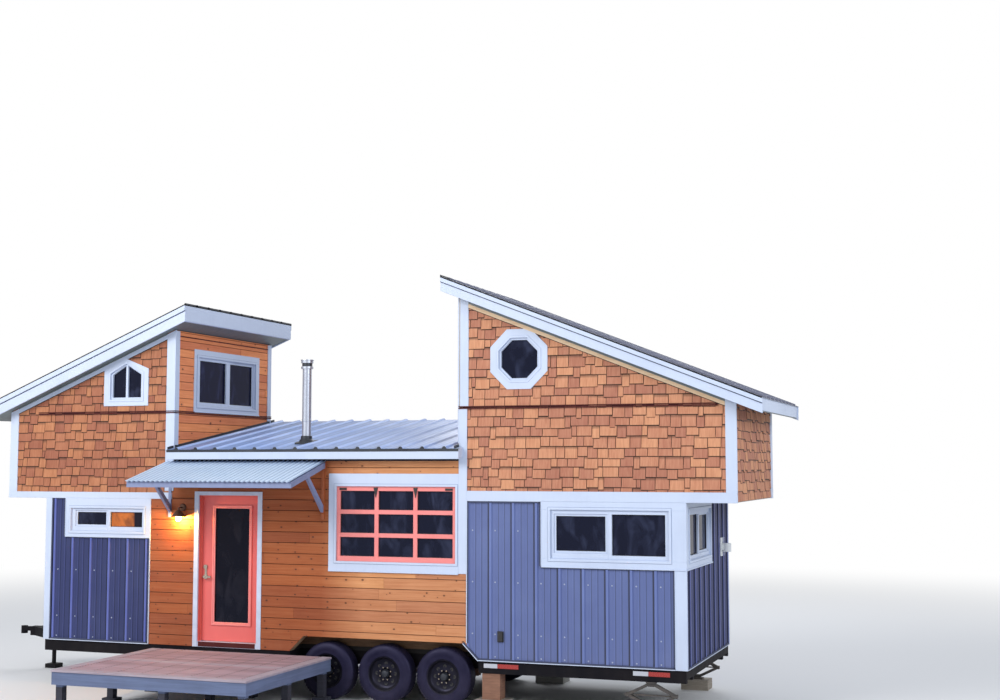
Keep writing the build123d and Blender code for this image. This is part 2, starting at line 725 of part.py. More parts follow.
# Lever handle and dead bolt through the leaf
handle_in = 60.0
handle_up = 838.0
bolt_up = 130.0
handle_x = door_left + handle_in
handle_z = door_bottom + handle_up
bolt_z = handle_z + bolt_up
rose = 33.0
lever_out = 62.0
handle = rod_y(handle_x, handle_z, leaf_out - 12, leaf_out, rose)
handle += rod_y(handle_x, handle_z, leaf_out - 58, -inner_w + 58, 11)
handle += rod_y(handle_x, bolt_z, leaf_out - 22, -inner_w + 22, 28)
handle += block(handle_x - 16, handle_x + 16, leaf_out - 10, leaf_out, handle_z, bolt_z)
handle += block(handle_x - rose, handle_x + rose, -inner_w, -inner_w + 12, handle_z - rose, bolt_z)
for y in (leaf_out - lever_out, -inner_w + lever_out - 16):
    handle += block(handle_x - 12, handle_x + 105, y, y + 16, handle_z - 11, handle_z + 11)
leaf_bored = leaf - rod_y(handle_x, handle_z, leaf_out - 1, -inner_w + 1, 11)
leaf_bored -= rod_y(handle_x, bolt_z, leaf_out - 1, -inner_w + 1, 28)
save(leaf_bored, "door_leaf")
save(handle, "door_handle")

# Windows: white casing, frame, bars and one pane closing each opening
sash_depth = 80.0
pane_back = 30.0
pane_thick = 12.0


def box_window(win, margins, bars_x, bars_z, wide):
    # margins of the casing: left, right, below, above
    x0, x1, z0, z1 = win
    left, right, below, above = margins
    y = -half_w
    shape = block(x0 - left, x1 + right, y - case_thick, y, z0 - below, z1 + above)
    shape -= block(x0, x1, y - case_thick - 1, y + 1, z0, z1)
    ring = block(x0, x1, y - case_thick, y + sash_depth, z0, z1)
    ring -= block(x0 + wide, x1 - wide, y - 50, y + sash_depth + 1, z0 + wide, z1 - wide)
    shape += ring
    for b in bars_x:
        shape += block(b - wide / 2, b + wide / 2, y + 5, y + sash_depth - 15, z0 + 10, z1 - 10)
    for b in bars_z:
        shape += block(x0 + 10, x1 - 10, y + 5, y + sash_depth - 15, b - wide / 2, b + wide / 2)
    shape += block(x0 + 5, x1 - 5, y + pane_back, y + pane_back + pane_thick, z0 + 5, z1 - 5)
    return shape


middle = (win_left[0] + win_left[1]) / 2
save(box_window(win_left, (89, 110, 65, left_window_drop), (middle + 30,), (), 38), "window_left")
third = mid_window_wide / 3
row = mid_window_high / 3
bars_x = (win_mid[0] + third, win_mid[0] + 2 * third)
bars_z = (win_mid[2] + row, win_mid[2] + 2 * row)
save(box_window(win_mid, (106, mid_window_in, 120, 160), bars_x, bars_z, 52), "window_middle")
middle = (win_right[0] + win_right[1]) / 2
save(box_window(win_right, (116, right_window_in, 90, right_window_drop), (middle,), (), 42), "window_right")


def side_window(x, win, casing, wide):
    # window in a wall that faces +X, casing given as y0, y1, z0, z1
    y0, y1, z0, z1 = win
    middle = (y0 + y1) / 2
    shape = block(x, x + case_thick, *casing) - block(x - 1, x + case_thick + 1, y0, y1, z0, z1)
    ring = block(x - sash_depth, x + case_thick, y0, y1, z0, z1)
    ring -= block(x - sash_depth - 1, x + 50, y0 + wide, y1 - wide, z0 + wide, z1 - wide)
    shape += ring
    shape += block(x - sash_depth + 15, x - 5, middle - wide / 2, middle + wide / 2, z0 + 10, z1 - 10)
    shape += block(x - pane_back - pane_thick, x - pane_back, y0 + 5, y1 - 5, z0 + 5, z1 - 5)
    return shape


# The casing in the right hand end wraps from the front corner
casing = (-half_w - case_thick, win_end[1] + 70, win_end[2] - 90, lower_wall_top)
save(side_window(half_l, win_end, casing, 42), "window_end")
casing = (win_loft[0] - 95, win_loft[1] + 105, win_loft[2] - 78, win_loft[3] + 105)
save(side_window(loft_left_inner, win_loft, casing, 38), "window_loft")


def shape_window(hole, inner, outer, bar):
    y = -half_w
    shape = plate_xz(outer, y - case_thick, y) - plate_xz(hole, y - 50, y + 1)
    shape += plate_xz(hole, y - case_thick, y + sash_depth) - plate_xz(inner, y - 50, y + sash_depth + 1)
    shape += plate_xz(hole, y + pane_back, y + pane_back + pane_thick)
    if bar is not None:
        shape += block(bar - 16, bar + 16, y + 5, y + sash_depth - 15, penta_bottom + 10, penta_peak - 25)
    return shape


octagon_out = ring_points(octagon_flat + octagon_case)
octagon = shape_window(ring_points(octagon_flat), ring_points(octagon_flat - 30), octagon_out, None)
save(octagon, "window_octagon")


def grown(d, dz):
    shoulder = penta_shoulder + d * 0.6
    return [
        (penta_x0 - d, penta_bottom - dz), (penta_x1 + d, penta_bottom - dz), (penta_x1 + d, shoulder),
        (penta_mid, penta_peak + d * 0.65), (penta_x0 - d, shoulder),
    ]


save(shape_window(penta_pts, grown(-28, -28), grown(penta_case, penta_case - 12), penta_mid), "window_pentagon")

# Awning: timber frame with two braces under a wavy sheet
awn_y0 = -half_w
awn_y1 = -half_w - awning_reach


def awn_z(y):
    return awning_wall_z - awning_drop * (awn_y0 - y) / awning_reach


def awn_strip(x0, x1, y0, y1, low, high):
    pts = [(y0, awn_z(y0) - low), (y1, awn_z(y1) - low), (y1, awn_z(y1) - high), (y0, awn_z(y0) - high)]
    return plate_yz(pts, x0, x1)


frame_low = awning_depth + wave_height
frame_high = wave_height
batten = 40.0
awning = awn_strip(awning_left, awning_right, awn_y1 + 30, awn_y1, frame_low, frame_high)
awning += awn_strip(awning_left, awning_right, awn_y0, awn_y0 - batten, frame_low + 20, frame_high)
spans = 4
for k in range(spans + 1):
    xa = awning_left + k * (awning_right - awning_left - batten) / spans
    awning += awn_strip(xa, xa + batten, awn_y0, awn_y1, frame_low, frame_high)
brace_drop = 720.0
brace_out = 470.0
brace_foot = awning_wall_z - brace_drop
for xa in (awning_left + 20, awning_right - 60):
    yb = awn_y0 - brace_out
    top = awn_z(yb) - frame_low + 20
    pts = [(awn_y0, brace_foot + 90), (awn_y0, brace_foot), (yb, top - 55), (yb - 55, top), (yb + 10, top)]
    awning += plate_yz(pts, xa, xa + batten)
    awning += block(xa, xa + batten, awn_y0 - 30, awn_y0, brace_foot - 40, awn_z(awn_y0) - frame_high - 14)
save(awning, "awning_frame")

waves = int((awning_right - awning_left) // wave_pitch)
pitch = (awning_right - awning_left) / waves
sheet_skin = 3.0
crest = wave_height - sheet_skin
low_line = [(awning_left, 0.0)]
for k in range(waves):
    xa = awning_left + k * pitch
    low_line += [(xa + 0.2 * pitch, 0.0), (xa + 0.5 * pitch, crest), (xa + 0.8 * pitch, 0.0)]
low_line.append((awning_right, 0.0))
outline = low_line + [(x, h + sheet_skin) for x, h in reversed(low_line)]
z_start = awn_z(awn_y0) - wave_height
face = make_face(Polyline(*[(x, awn_y0, z_start + h) for x, h in outline], close=True))
reach = awning_reach + 30
drop = awning_drop * reach / awning_reach
sheet = extrude(face, amount=math.hypot(reach, drop), dir=(0, -reach, -drop))
save(sheet, "awning_sheet")

# Stove pipe with a boot on the middle roof
pipe_x = -683.0
pipe_from_front = 368.0
pipe_y = -half_w + pipe_from_front
pipe_r = 62.0
pipe_high = 1093.0
boot = 165.0
pipe_foot = mid_top(pipe_y)
pipe_top = pipe_foot + pipe_high
chimney = rod_z(pipe_x, pipe_y, pipe_foot - 60, pipe_top - 20, pipe_r)
chimney += rod_z(pipe_x, pipe_y, pipe_top - 130, pipe_top, pipe_r + 18)
chimney += Pos(pipe_x, pipe_y, pipe_foot + 30) * Cone(pipe_r + 62, pipe_r + 8, 130)
foot_pts = [
    (pipe_y - boot, mid_top(pipe_y - boot) - sheet_rise), (pipe_y + boot, mid_top(pipe_y + boot) - sheet_rise),
    (pipe_y + boot, mid_top(pipe_y + boot) + 4), (pipe_y - boot, mid_top(pipe_y - boot) + 4),
]
chimney += plate_yz(foot_pts, pipe_x - 150, pipe_x + 150)
under_roof = mid_under(-mid_y) - mid_slab
below = [
    (-mid_y, under_roof), (mid_y, under_roof),
    (mid_y, mid_top(mid_y) - sheet_rise), (-mid_y, mid_top(-mid_y) - sheet_rise),
]
chimney -= plate_yz(below, pipe_x - 2 * boot, pipe_x + 2 * boot)
chimney -= roofing_mid
save(chimney, "stove_pipe")

# Wall lamp beside the door
lamp_from_door = 258.0
lamp_below_head = 174.0
lamp_x = door_left - lamp_from_door
lamp_z = door_top - lamp_below_head
lamp_y = -half_w - 120
turned = [(0, 29), (14, 29), (14, -10), (30, -10), (100, -98), (92, -98), (22, -20), (22, -92)]
turned += [(36, -92), (36, -140), (0, -156)]
face = make_face(Polyline(*[(r, 0, z) for r, z in turned], close=True))
lamp = Pos(lamp_x, lamp_y, lamp_z) * revolve(face, axis=Axis.Z)
lamp += rod_y(lamp_x, lamp_z + 20, -half_w - 18, -half_w, 50)
lamp += rod_y(lamp_x, lamp_z + 20, lamp_y, -half_w - 10, 8)
save(lamp, "wall_lamp")

# Wall vent on the right hand end
vent_from_back = 375.0
vent_below_top = 635.0
vent_y = half_w - vent_from_back
vent_z = lower_wall_top - vent_below_top
vent = block(half_l, half_l + 14, vent_y - 110, vent_y + 110, vent_z - 120, vent_z + 120)
vent += block(half_l, half_l + 70, vent_y - 52, vent_y + 52, vent_z - 40, vent_z + 40)
vent += Pos(half_l + 70, vent_y, vent_z - 10) * Cylinder(58, 110)
vent -= Pos(half_l + 70, vent_y, vent_z - 60) * Cylinder(50, 60)
save(vent, "wall_vent")

# Entrance deck: frame on posts, boards on top
joist_top = deck_top - board_thick
joist_low = joist_top - joist_depth
deck = block(deck_left, deck_right, deck_front, deck_front + joist_thick, joist_low, joist_top)
deck += block(deck_left, deck_right, deck_back - joist_thick, deck_back, joist_low, joist_top)
deck += block(deck_left, deck_left + joist_thick, deck_front, deck_back, joist_low, joist_top)
deck += block(deck_right - joist_thick, deck_right, deck_front, deck_back, joist_low, joist_top)
for k in range(1, deck_bays):
    xa = deck_left + k * (deck_right - deck_left) / deck_bays
    deck += block(xa - joist_thick / 2, xa + joist_thick / 2, deck_front, deck_back, joist_low, joist_top)
for px in (deck_left + joist_thick, (deck_left + deck_right) / 2 + 140, deck_right - joist_thick - deck_post):
    for py in (deck_front + joist_thick, (deck_front + deck_back) / 2, deck_back - joist_thick - deck_post):
        deck += block(px, px + deck_post, py, py + deck_post, 60, joist_top)
        deck += block(px - 50, px + deck_post + 50, py - 35, py + deck_post + 35, 0, 60)
save(deck, "deck_frame")
boards = block(deck_left - board_lip, deck_right + board_lip, deck_front - board_lip, deck_back, joist_top, deck_top)
save(boards, "deck_boards")
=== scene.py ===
import bmesh
import bpy
import math
from mathutils import Matrix, Vector


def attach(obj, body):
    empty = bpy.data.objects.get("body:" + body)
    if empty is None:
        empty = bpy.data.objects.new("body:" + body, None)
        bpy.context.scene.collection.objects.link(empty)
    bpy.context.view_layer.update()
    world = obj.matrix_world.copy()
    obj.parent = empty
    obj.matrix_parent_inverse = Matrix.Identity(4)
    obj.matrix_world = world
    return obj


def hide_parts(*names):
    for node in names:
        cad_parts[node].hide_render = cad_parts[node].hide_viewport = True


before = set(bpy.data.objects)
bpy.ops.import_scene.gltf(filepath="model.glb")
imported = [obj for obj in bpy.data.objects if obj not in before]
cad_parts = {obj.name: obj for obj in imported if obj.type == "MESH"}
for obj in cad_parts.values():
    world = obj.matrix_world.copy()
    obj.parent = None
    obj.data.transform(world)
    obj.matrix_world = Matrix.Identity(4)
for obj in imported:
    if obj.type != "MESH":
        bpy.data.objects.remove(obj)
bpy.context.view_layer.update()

# Main sizes of the house in metres, from the middle of its lower body
PLACE = Vector((0.230, 0.9685, 0.0))
HALF_LONG, HALF_WIDE = 4.485, 1.295
SILL, LOFT_LOW, SEAM = 0.600, 2.550, 3.700
LEFT_OUT, LEFT_IN = -5.120, -2.490
RIGHT_IN, RIGHT_OUT = 1.640, 5.090
LEFT_EAVE, LEFT_PEAK = -5.470, -2.230
RIGHT_PEAK, RIGHT_EAVE = 1.454, 5.440
LEFT_HIGH, LEFT_SLOPE = 5.150, 0.407
RIGHT_HIGH, RIGHT_SLOPE = 5.363, 0.395
MIDDLE_LOW, MIDDLE_SLOPE = 3.216, 0.155
MID_FRONT = 1.450
ROOF_SIDE = HALF_WIDE + 0.200
RIBS = 0.026
LEFT_SLAB, RIGHT_SLAB, MID_SLAB = 0.220, 0.182, 0.125
PITCH, FIRST_RIB = 0.296, -2.349
TRIM = 0.021
DOOR = (-2.058, -1.197, 0.672, 2.574)
WHEEL_X = (-0.190, 0.610, 1.410)
WHEEL_R = 0.365
AWNING_WIDE, AWNING_MIDDLE = 2.364, -1.374
AWNING_TOP, AWNING_FALL = 3.050, 0.255 / 0.965
WAVE = AWNING_WIDE / 34

scene = bpy.context.scene


# Height of the ribs of each roof, and of the underside of its slab
def left_top(x):
    return LEFT_HIGH + LEFT_SLOPE * (x - LEFT_PEAK)


def right_top(x):
    return RIGHT_HIGH - RIGHT_SLOPE * (x - RIGHT_PEAK)


def middle_top(y):
    return MIDDLE_LOW + MIDDLE_SLOPE * (y + MID_FRONT)


def left_under(x):
    return left_top(x) - RIBS - LEFT_SLAB


def right_under(x):
    return right_top(x) - RIBS - RIGHT_SLAB


def middle_under(y):
    return middle_top(y) - RIBS - MID_SLAB


# A wall's own directions: across the wall, up, and out from the house
def wall_plane(across, out, at):
    plane = Matrix((Vector(across), Vector((0, 0, 1)), Vector(out))).transposed().to_4x4()
    plane.translation = Vector(at) + PLACE
    return plane


HOUSE = Matrix.Translation(PLACE)
FRONT = wall_plane((1, 0, 0), (0, -1, 0), (0, -HALF_WIDE, 0))
BACK = wall_plane((-1, 0, 0), (0, 1, 0), (0, HALF_WIDE, 0))


def facing_right(x):
    return wall_plane((0, 1, 0), (1, 0, 0), (x, 0, 0))


def facing_left(x):
    return wall_plane((0, -1, 0), (-1, 0, 0), (x, 0, 0))


# Nodes for shaders and for geometry, put down and joined in one step
class Value:
    # an output that arithmetic can be done with
    def __init__(self, tree, socket):
        self.tree, self.socket = tree, socket

    def __add__(self, other):
        return reckon("ADD", self, other)

    def __sub__(self, other):
        return reckon("SUBTRACT", self, other)

    def __mul__(self, other):
        return reckon("MULTIPLY", self, other)

    def __truediv__(self, other):
        return reckon("DIVIDE", self, other)


def fill(tree, socket, value):
    if isinstance(value, Value):
        tree.links.new(value.socket, socket)
    else:
        socket.default_value = value


class Node:
    # reading an item gives an output, and setting one fills an input
    def __init__(self, tree, kind, values=None, **settings):
        self.tree, self.made = tree, tree.nodes.new(kind)
        for name, value in settings.items():
            setattr(self.made, name, value)
        for key, value in (values or {}).items():
            self[key] = value

    def __getitem__(self, key):
        return Value(self.tree, self.made.outputs[key])

    def __setitem__(self, key, value):
        fill(self.tree, self.made.inputs[key], value)


def node(kind, values, **settings):
    # a node in the tree of the outputs that it is given
    tree = next(value.tree for value in values.values() if isinstance(value, Value))
    return Node(tree, kind, values, **settings)


def spaced(values):
    return {label.replace("_", " "): value for label, value in values.items()}


def reckon(operation, *values, clamp=False):
    return node("ShaderNodeMath", dict(enumerate(values)), operation=operation, use_clamp=clamp)[0]


def vectors(operation, *values):
    return node("ShaderNodeVectorMath", dict(enumerate(values)), operation=operation)[0]


def scaled(vector, amount):
    return node("ShaderNodeVectorMath", {0: vector, "Scale": amount}, operation="SCALE")[0]


def parts(vector):
    return node("ShaderNodeSeparateXYZ", {0: vector})


def joined(values):
    return node("ShaderNodeCombineXYZ", values)[0]


def noise(vector, scale, detail, **more):
    settings = {"noise_dimensions": "4D"} if "W" in more else {}
    return node("ShaderNodeTexNoise", {"Vector": vector, "Scale": scale, "Detail": detail, **more}, **settings)[0]


def ramp(value, low, high, start=0.0, end=1.0, smooth=False):
    return node("ShaderNodeMapRange", {
        "Value": value, "From Min": low, "From Max": high, "To Min": start, "To Max": end,
    }, interpolation_type="SMOOTHSTEP" if smooth else "LINEAR")[0]


def blend(share, first, second):
    return node("ShaderNodeMix", {0: share, 6: first, 7: second}, data_type="RGBA")[2]


def group(tree, **values):
    return node("ShaderNodeGroup", spaced(values), node_tree=tree)


FLOAT, COLOUR, VECTOR, GEOMETRY = ("NodeSocket" + kind for kind in ("Float", "Color", "Vector", "Geometry"))
SOCKETS = {float: FLOAT, tuple: VECTOR, int: "NodeSocketInt"}
LAID = {"Piece": "NodeSocketObject", "Finish": "NodeSocketMaterial"}
COAT = {"Color": COLOUR, "Roughness": FLOAT, "Height": FLOAT}


def group_tree(name, inputs, outputs, kind="ShaderNodeTree"):
    # an input is named with its default, or with its type alone
    tree = bpy.data.node_groups.new(name, kind)
    for label, value in inputs.items():
        typed = isinstance(value, str)
        made = tree.interface.new_socket(label, in_out="INPUT", socket_type=value if typed else SOCKETS[type(value)])
        if not typed:
            made.default_value = value
    for label, socket in outputs.items():
        tree.interface.new_socket(label, in_out="OUTPUT", socket_type=socket)
    return tree, Node(tree, "NodeGroupInput"), Node(tree, "NodeGroupOutput")


# Shared effects: grain, knots, brushed paint, dust from the road
def make_grain():
    tree, given, result = group_tree("Wood Grain", {
        "Vector": VECTOR, "Tone": 0.5, "Stretch": (1.0, 1.0, 1.0), "Pale": COLOUR, "Deep": COLOUR, "Spread": 0.3,
    }, COAT)
    shift = given["Tone"] * 91.0
    fine = noise(vectors("MULTIPLY", given["Vector"], given["Stretch"]), 1.0, 7.0,
                 W=shift, Roughness=0.62, Distortion=0.5)
    broad = noise(given["Vector"], 3.1, 3.0, W=shift)
    mixed = ramp(fine, 0.33, 0.68, smooth=True) * 0.62 + ramp(broad, 0.3, 0.7, 0.0, 0.38)
    spread = (given["Tone"] - 0.5) * given["Spread"]
    result["Color"] = node("ShaderNodeHueSaturation", {
        "Hue": spread * 0.035 + 0.5, "Value": spread + 1.0, "Color": blend(mixed, given["Pale"], given["Deep"]),
    })[0]
    result["Roughness"] = ramp(fine, 0.3, 0.7, 0.60, 0.84)
    result["Height"] = fine
    return tree


def make_knots():
    tree, given, result = group_tree("Board Knots", {"Vector": VECTOR, "Per Metre": 3.4, "Size": 0.095},
                                     {"Knot": FLOAT, "Halo": FLOAT})
    place = parts(given["Vector"])
    flat = joined({0: place[0] + place[1], 1: place[2] * 1.5})
    cells = node("ShaderNodeTexVoronoi", {"Vector": flat, "Scale": given["Per Metre"]}, voronoi_dimensions="2D")
    pick = node("ShaderNodeSeparateColor", {0: cells["Color"]})[0]
    reach = cells["Distance"] + noise(flat, 30.0, 2.0) * 0.03
    chosen = reckon("GREATER_THAN", pick, 0.34)
    size = given["Size"] * ramp(pick, 0.34, 1.0, 0.55, 1.25)
    near = reckon("SUBTRACT", 1.0, reach / size, clamp=True)
    result["Knot"] = ramp(near, 0.05, 0.4, smooth=True) * chosen
    result["Halo"] = reckon("SUBTRACT", 1.0, reach / (size * 2.6), clamp=True) * chosen
    return tree


def make_brushed():
    tree, given, result = group_tree("Brushed Paint", {
        "Vector": VECTOR, "Stretch": (30.0, 30.0, 30.0), "Base": COLOUR, "Worn": COLOUR, "Wear": 0.25, "Gloss": 0.4,
    }, COAT)
    strokes = noise(vectors("MULTIPLY", given["Vector"], given["Stretch"]), 1.0, 6.0, Roughness=0.6)
    share = ramp(noise(given["Vector"], 1.7, 5.0), 0.42, 0.75, smooth=True) * given["Wear"]
    fine = ramp(strokes, 0.35, 0.7) * (given["Wear"] * 0.45)
    result["Color"] = blend(reckon("ADD", share, fine, clamp=True), given["Base"], given["Worn"])
    result["Roughness"] = given["Gloss"] + ramp(strokes, 0.3, 0.7, -0.05, 0.09)
    result["Height"] = strokes
    return tree


def make_road_dust():
    tree, given, result = group_tree("Road Dust", {
        "Vector": VECTOR, "Color": COLOUR, "Dust": COLOUR, "Top": 1.1, "Amount": 0.5,
    }, {"Color": COLOUR, "Mask": FLOAT})
    low = reckon("SUBTRACT", 1.0, parts(given["Vector"])[2] / given["Top"], clamp=True)
    streaks = noise(vectors("MULTIPLY", given["Vector"], (7.0, 7.0, 1.1)), 1.0, 8.0, Roughness=0.65)
    mask = low * ramp(streaks, 0.35, 0.7) * given["Amount"]
    result["Color"] = blend(mask, given["Color"], given["Dust"])
    result["Mask"] = mask
    return tree


GRAIN = make_grain()
KNOTS = make_knots()
BRUSHED = make_brushed()
DUST = make_road_dust()
DUST_COLOUR = (0.30, 0.25, 0.20, 1.0)

# How the painted shade kept on a cladding darkens it: butts and joints at nought, open faces at the full value; the
# band of shingle just under the next course is painted shade, and the siding's stops with their gain paint shade beside
# each rib and a highlight on its crest
SHINGLE_SHADE = [(0.0, 0.06), (0.18, 0.36), (0.49, 0.70), (0.53, 1.0), (0.87, 1.0), (0.925, 0.62), (1.0, 0.5)]
PLANK_SHADE = [(0.0, 0.30), (0.35, 0.46), (0.8, 0.9), (1.0, 1.0)]
LOFT_SHADE = [(0.0, 0.35), (0.35, 0.5), (0.8, 0.9), (1.0, 1.0)]
SIDING_SHADE = [(0.0, 0.12), (0.3, 0.34), (0.5, 0.625), (0.7, 0.70), (1.0, 0.80)]
DEEP_SHADE = [(0.0, 0.06), (0.3, 0.16), (0.5, 0.30), (0.7, 0.44), (0.8, 0.90), (1.0, 1.0)]


def blank_material(name):
    finish = bpy.data.materials.new(name)
    finish.use_nodes = True
    finish.node_tree.nodes.clear()
    return finish, finish.node_tree


def new_finish(name, **plain):
    finish, tree = blank_material(name)
    shader = Node(tree, "ShaderNodeBsdfPrincipled", spaced(plain))
    Node(tree, "ShaderNodeOutputMaterial", {"Surface": shader[0]})
    return finish, shader, Node(tree, "ShaderNodeTexCoord")["Object"]


def dress(shader, colour, rough, height, depth, strength=0.6):
    shader["Base Color"], shader["Roughness"] = colour, rough
    shader["Normal"] = node("ShaderNodeBump", {"Height": height, "Distance": depth, "Strength": strength})[0]


def kept(tree, name):
    return Node(tree, "ShaderNodeAttribute", attribute_name=name, attribute_type="GEOMETRY")["Fac"]


def through_stops(value, stops):
    # a value read off a line through the given stops
    line = node("ShaderNodeValToRGB", {"Fac": value})
    marks = line.made.color_ramp.elements
    marks[0].position, marks[1].position = stops[0][0], stops[-1][0]
    for spot, level in stops[1:-1]:
        marks.new(spot)
    for mark, (spot, level) in zip(marks, stops):
        mark.color = (level, level, level, 1.0)
    return line[0]


def shaded(colour, stops, gain=1.0):
    # a colour made darker or lighter by the painted shade and highlight that a cladding keeps on its corners
    return scaled(colour, through_stops(kept(colour.tree, "shade"), stops) * gain)


def banded(place, axis, first, step, stops):
    # painted highlight and shade: bright and dark bands that follow the ribs of a sheet
    return through_stops(reckon("FRACT", (parts(place)[axis] - first) / step), stops)


def dusted(place, colour, amount, top):
    if not amount:
        return colour
    return group(DUST, Vector=place, Color=colour, Dust=DUST_COLOUR, Top=top, Amount=amount)["Color"]


def wood_finish(name, pale, deep, along, spread=0.5, knots=0.0, dust=0.0, dust_top=1.1, depth=0.0012, tone=None,
                stops=None, awning_shadow=None):
    finish, shader, place = new_finish(name)
    share = kept(place.tree, "tone") if tone is None else tone
    grain = group(GRAIN, Vector=place, Tone=share, Stretch=along, Pale=pale, Deep=deep, Spread=spread)
    colour, height = grain["Color"], grain["Height"]
    if knots:
        marks = group(KNOTS, Vector=place, Per_Metre=knots)
        dark = tuple(c * 0.16 for c in deep[:3]) + (1.0,)
        colour = blend(marks["Knot"] * 0.85, blend(marks["Halo"] * 0.55, colour, deep), dark)
        height = height + marks["Knot"] * 0.3
    if stops:
        colour = shaded(colour, stops)
    if awning_shadow:
        # painted shadow of the awning: boards left of the given span are deeper and redder
        in_awning_shadow = vectors("MULTIPLY", colour, (0.56, 0.335, 0.20))
        colour = blend(ramp(parts(place)[0], *awning_shadow), in_awning_shadow, colour)
    dress(shader, dusted(place, colour, dust, dust_top), grain["Roughness"], height, depth)
    return finish


def paint_finish(name, base, worn, along=(40.0, 40.0, 3.0), wear=0.25, gloss=0.42, dust=0.0, dust_top=1.2, depth=0.0005,
                 stops=None, gain=1.0, **plain):
    finish, shader, place = new_finish(name, **plain)
    coat = group(BRUSHED, Vector=place, Stretch=along, Base=base, Worn=worn, Wear=wear, Gloss=gloss)
    colour = shaded(coat["Color"], stops, gain) if stops else coat["Color"]
    dress(shader, dusted(place, colour, dust, dust_top), coat["Roughness"], coat["Height"], depth)
    return finish


def banded_finish(name, pale, deep, axis, first, stops, step=PITCH, gloss=0.42, metal=0.05):
    finish, shader, place = new_finish(name, Metallic=metal, Specular_IOR_Level=0.25)
    cloud = noise(place, 1.3, 6.0)
    colour = blend(banded(place, axis, first, step, stops), deep, pale)
    worn = blend(ramp(cloud, 0.40, 0.72, 0.0, 0.35), colour, pale)
    dress(shader, worn, ramp(cloud, 0.3, 0.7, gloss - 0.05, gloss + 0.10), cloud, 0.0006, 0.3)
    return finish


def split_finish(name, lower, upper, level, grain=(6.0, 6.0, 60.0), soft=0.004):
    # one grained colour below a height and another above it
    finish, shader, place = new_finish(name)
    first, second = (group(GRAIN, Vector=place, Tone=tone, Stretch=grain, Pale=pale, Deep=deep, Spread=0.0)
                     for tone, (pale, deep) in ((0.3, lower), (0.7, upper)))
    above = ramp(parts(place)[2], level - soft, level + soft)
    dress(shader, blend(above, first["Color"], second["Color"]), 0.75, first["Height"], 0.0015)
    return finish


def two_part_finish(name, around, inside, limits):
    # one paint around and another inside limits, each an axis, the side of the level that counts and the level
    finish, shader, place = new_finish(name)
    within = 1.0
    for axis, sign, level in limits:
        within = reckon("GREATER_THAN", parts(place)[axis] * sign, sign * level) * within
    cloud = noise(place, 9.0, 5.0)
    dress(shader, scaled(blend(within, around, inside), ramp(cloud, 0.3, 0.7, 0.9, 1.04)), 0.45, cloud, 0.0004)
    return finish


def glass_finish(name, tint, pale, strength, shine=0.2, room_edge=None):
    finish, shader, place = new_finish(name, Transmission_Weight=strength, IOR=1.5, Specular_IOR_Level=shine,
                                       Specular_Tint=(0.55, 0.62, 1.0, 1.0))
    # painted reflection: the pane's colour runs in streaks between its deep tint and a paler one
    streak_noise = noise(vectors("MULTIPLY", place, (5.0, 5.0, 2.4)), 1.0, 6.0, Distortion=0.8)
    colour = blend(ramp(streak_noise, 0.46, 0.74, smooth=True), tint, pale)
    if room_edge is not None:
        # the lit room ends here and the pane is dark beyond
        colour = blend(ramp(parts(place)[0], room_edge, room_edge + 0.03), colour, (0.014, 0.010, 0.014, 1))
    shader["Base Color"], shader["Roughness"] = colour, ramp(streak_noise, 0.3, 0.8, 0.03, 0.09)
    return finish


def zinc_finish():
    finish, shader, place = new_finish("galvanised sheet", Metallic=0.1, Specular_IOR_Level=0.3)
    cells = node("ShaderNodeTexVoronoi", {"Vector": place, "Scale": 38.0})["Color"]
    part = node("ShaderNodeSeparateColor", {0: cells})[0]
    cloud = noise(place, 2.2, 6.0)
    share = reckon("ADD", part * 0.35, ramp(cloud, 0.35, 0.7, 0.0, 0.6), clamp=True)
    # painted shade in the hollows of the corrugations, the crests at the sheet's own colour
    wave = banded(place, 0, AWNING_MIDDLE + PLACE.x, WAVE,
                  [(0.0, 1.0), (0.3, 0.62), (0.5, 0.10), (0.62, 0.25), (1.0, 1.0)])
    sheet = blend(share, (0.56, 0.70, 0.86, 1), (0.70, 0.80, 0.92, 1))
    dress(shader, blend(wave, (0.10, 0.18, 0.36, 1), sheet), ramp(part, 0.0, 1.0, 0.28, 0.44), cloud, 0.0006, 0.3)
    return finish


def bulb_finish():
    finish, shader, place = new_finish("lit bulb", Roughness=0.4, Emission_Strength=850.0,
                                       Base_Color=(1.0, 0.75, 0.4, 1))
    shader["Emission Color"] = blend(noise(place, 20.0, 2.0), (1.0, 0.47, 0.10, 1), (1.0, 0.58, 0.17, 1))
    return finish


# Finishes, each from its two colours: pale and deep for wood, fresh and worn for paint
SHINGLE = wood_finish("cedar shingles", (0.535, 0.240, 0.135, 1), (0.390, 0.146, 0.082, 1), (55.0, 55.0, 2.6),
                      spread=0.42, depth=0.0016, stops=SHINGLE_SHADE)
SHINGLE_DEEP = wood_finish("red brown cedar shingles", (0.40, 0.150, 0.074, 1), (0.28, 0.092, 0.043, 1),
                           (55.0, 55.0, 2.6), spread=0.42, depth=0.0016, stops=SHINGLE_SHADE)
PLANK = wood_finish("cedar boards", (0.58, 0.255, 0.115, 1), (0.44, 0.165, 0.066, 1), (1.7, 1.7, 42.0), spread=0.36,
                    knots=4.4, dust=0.15, dust_top=1.0, stops=PLANK_SHADE, awning_shadow=(-0.25 + PLACE.x, 0.35 + PLACE.x))
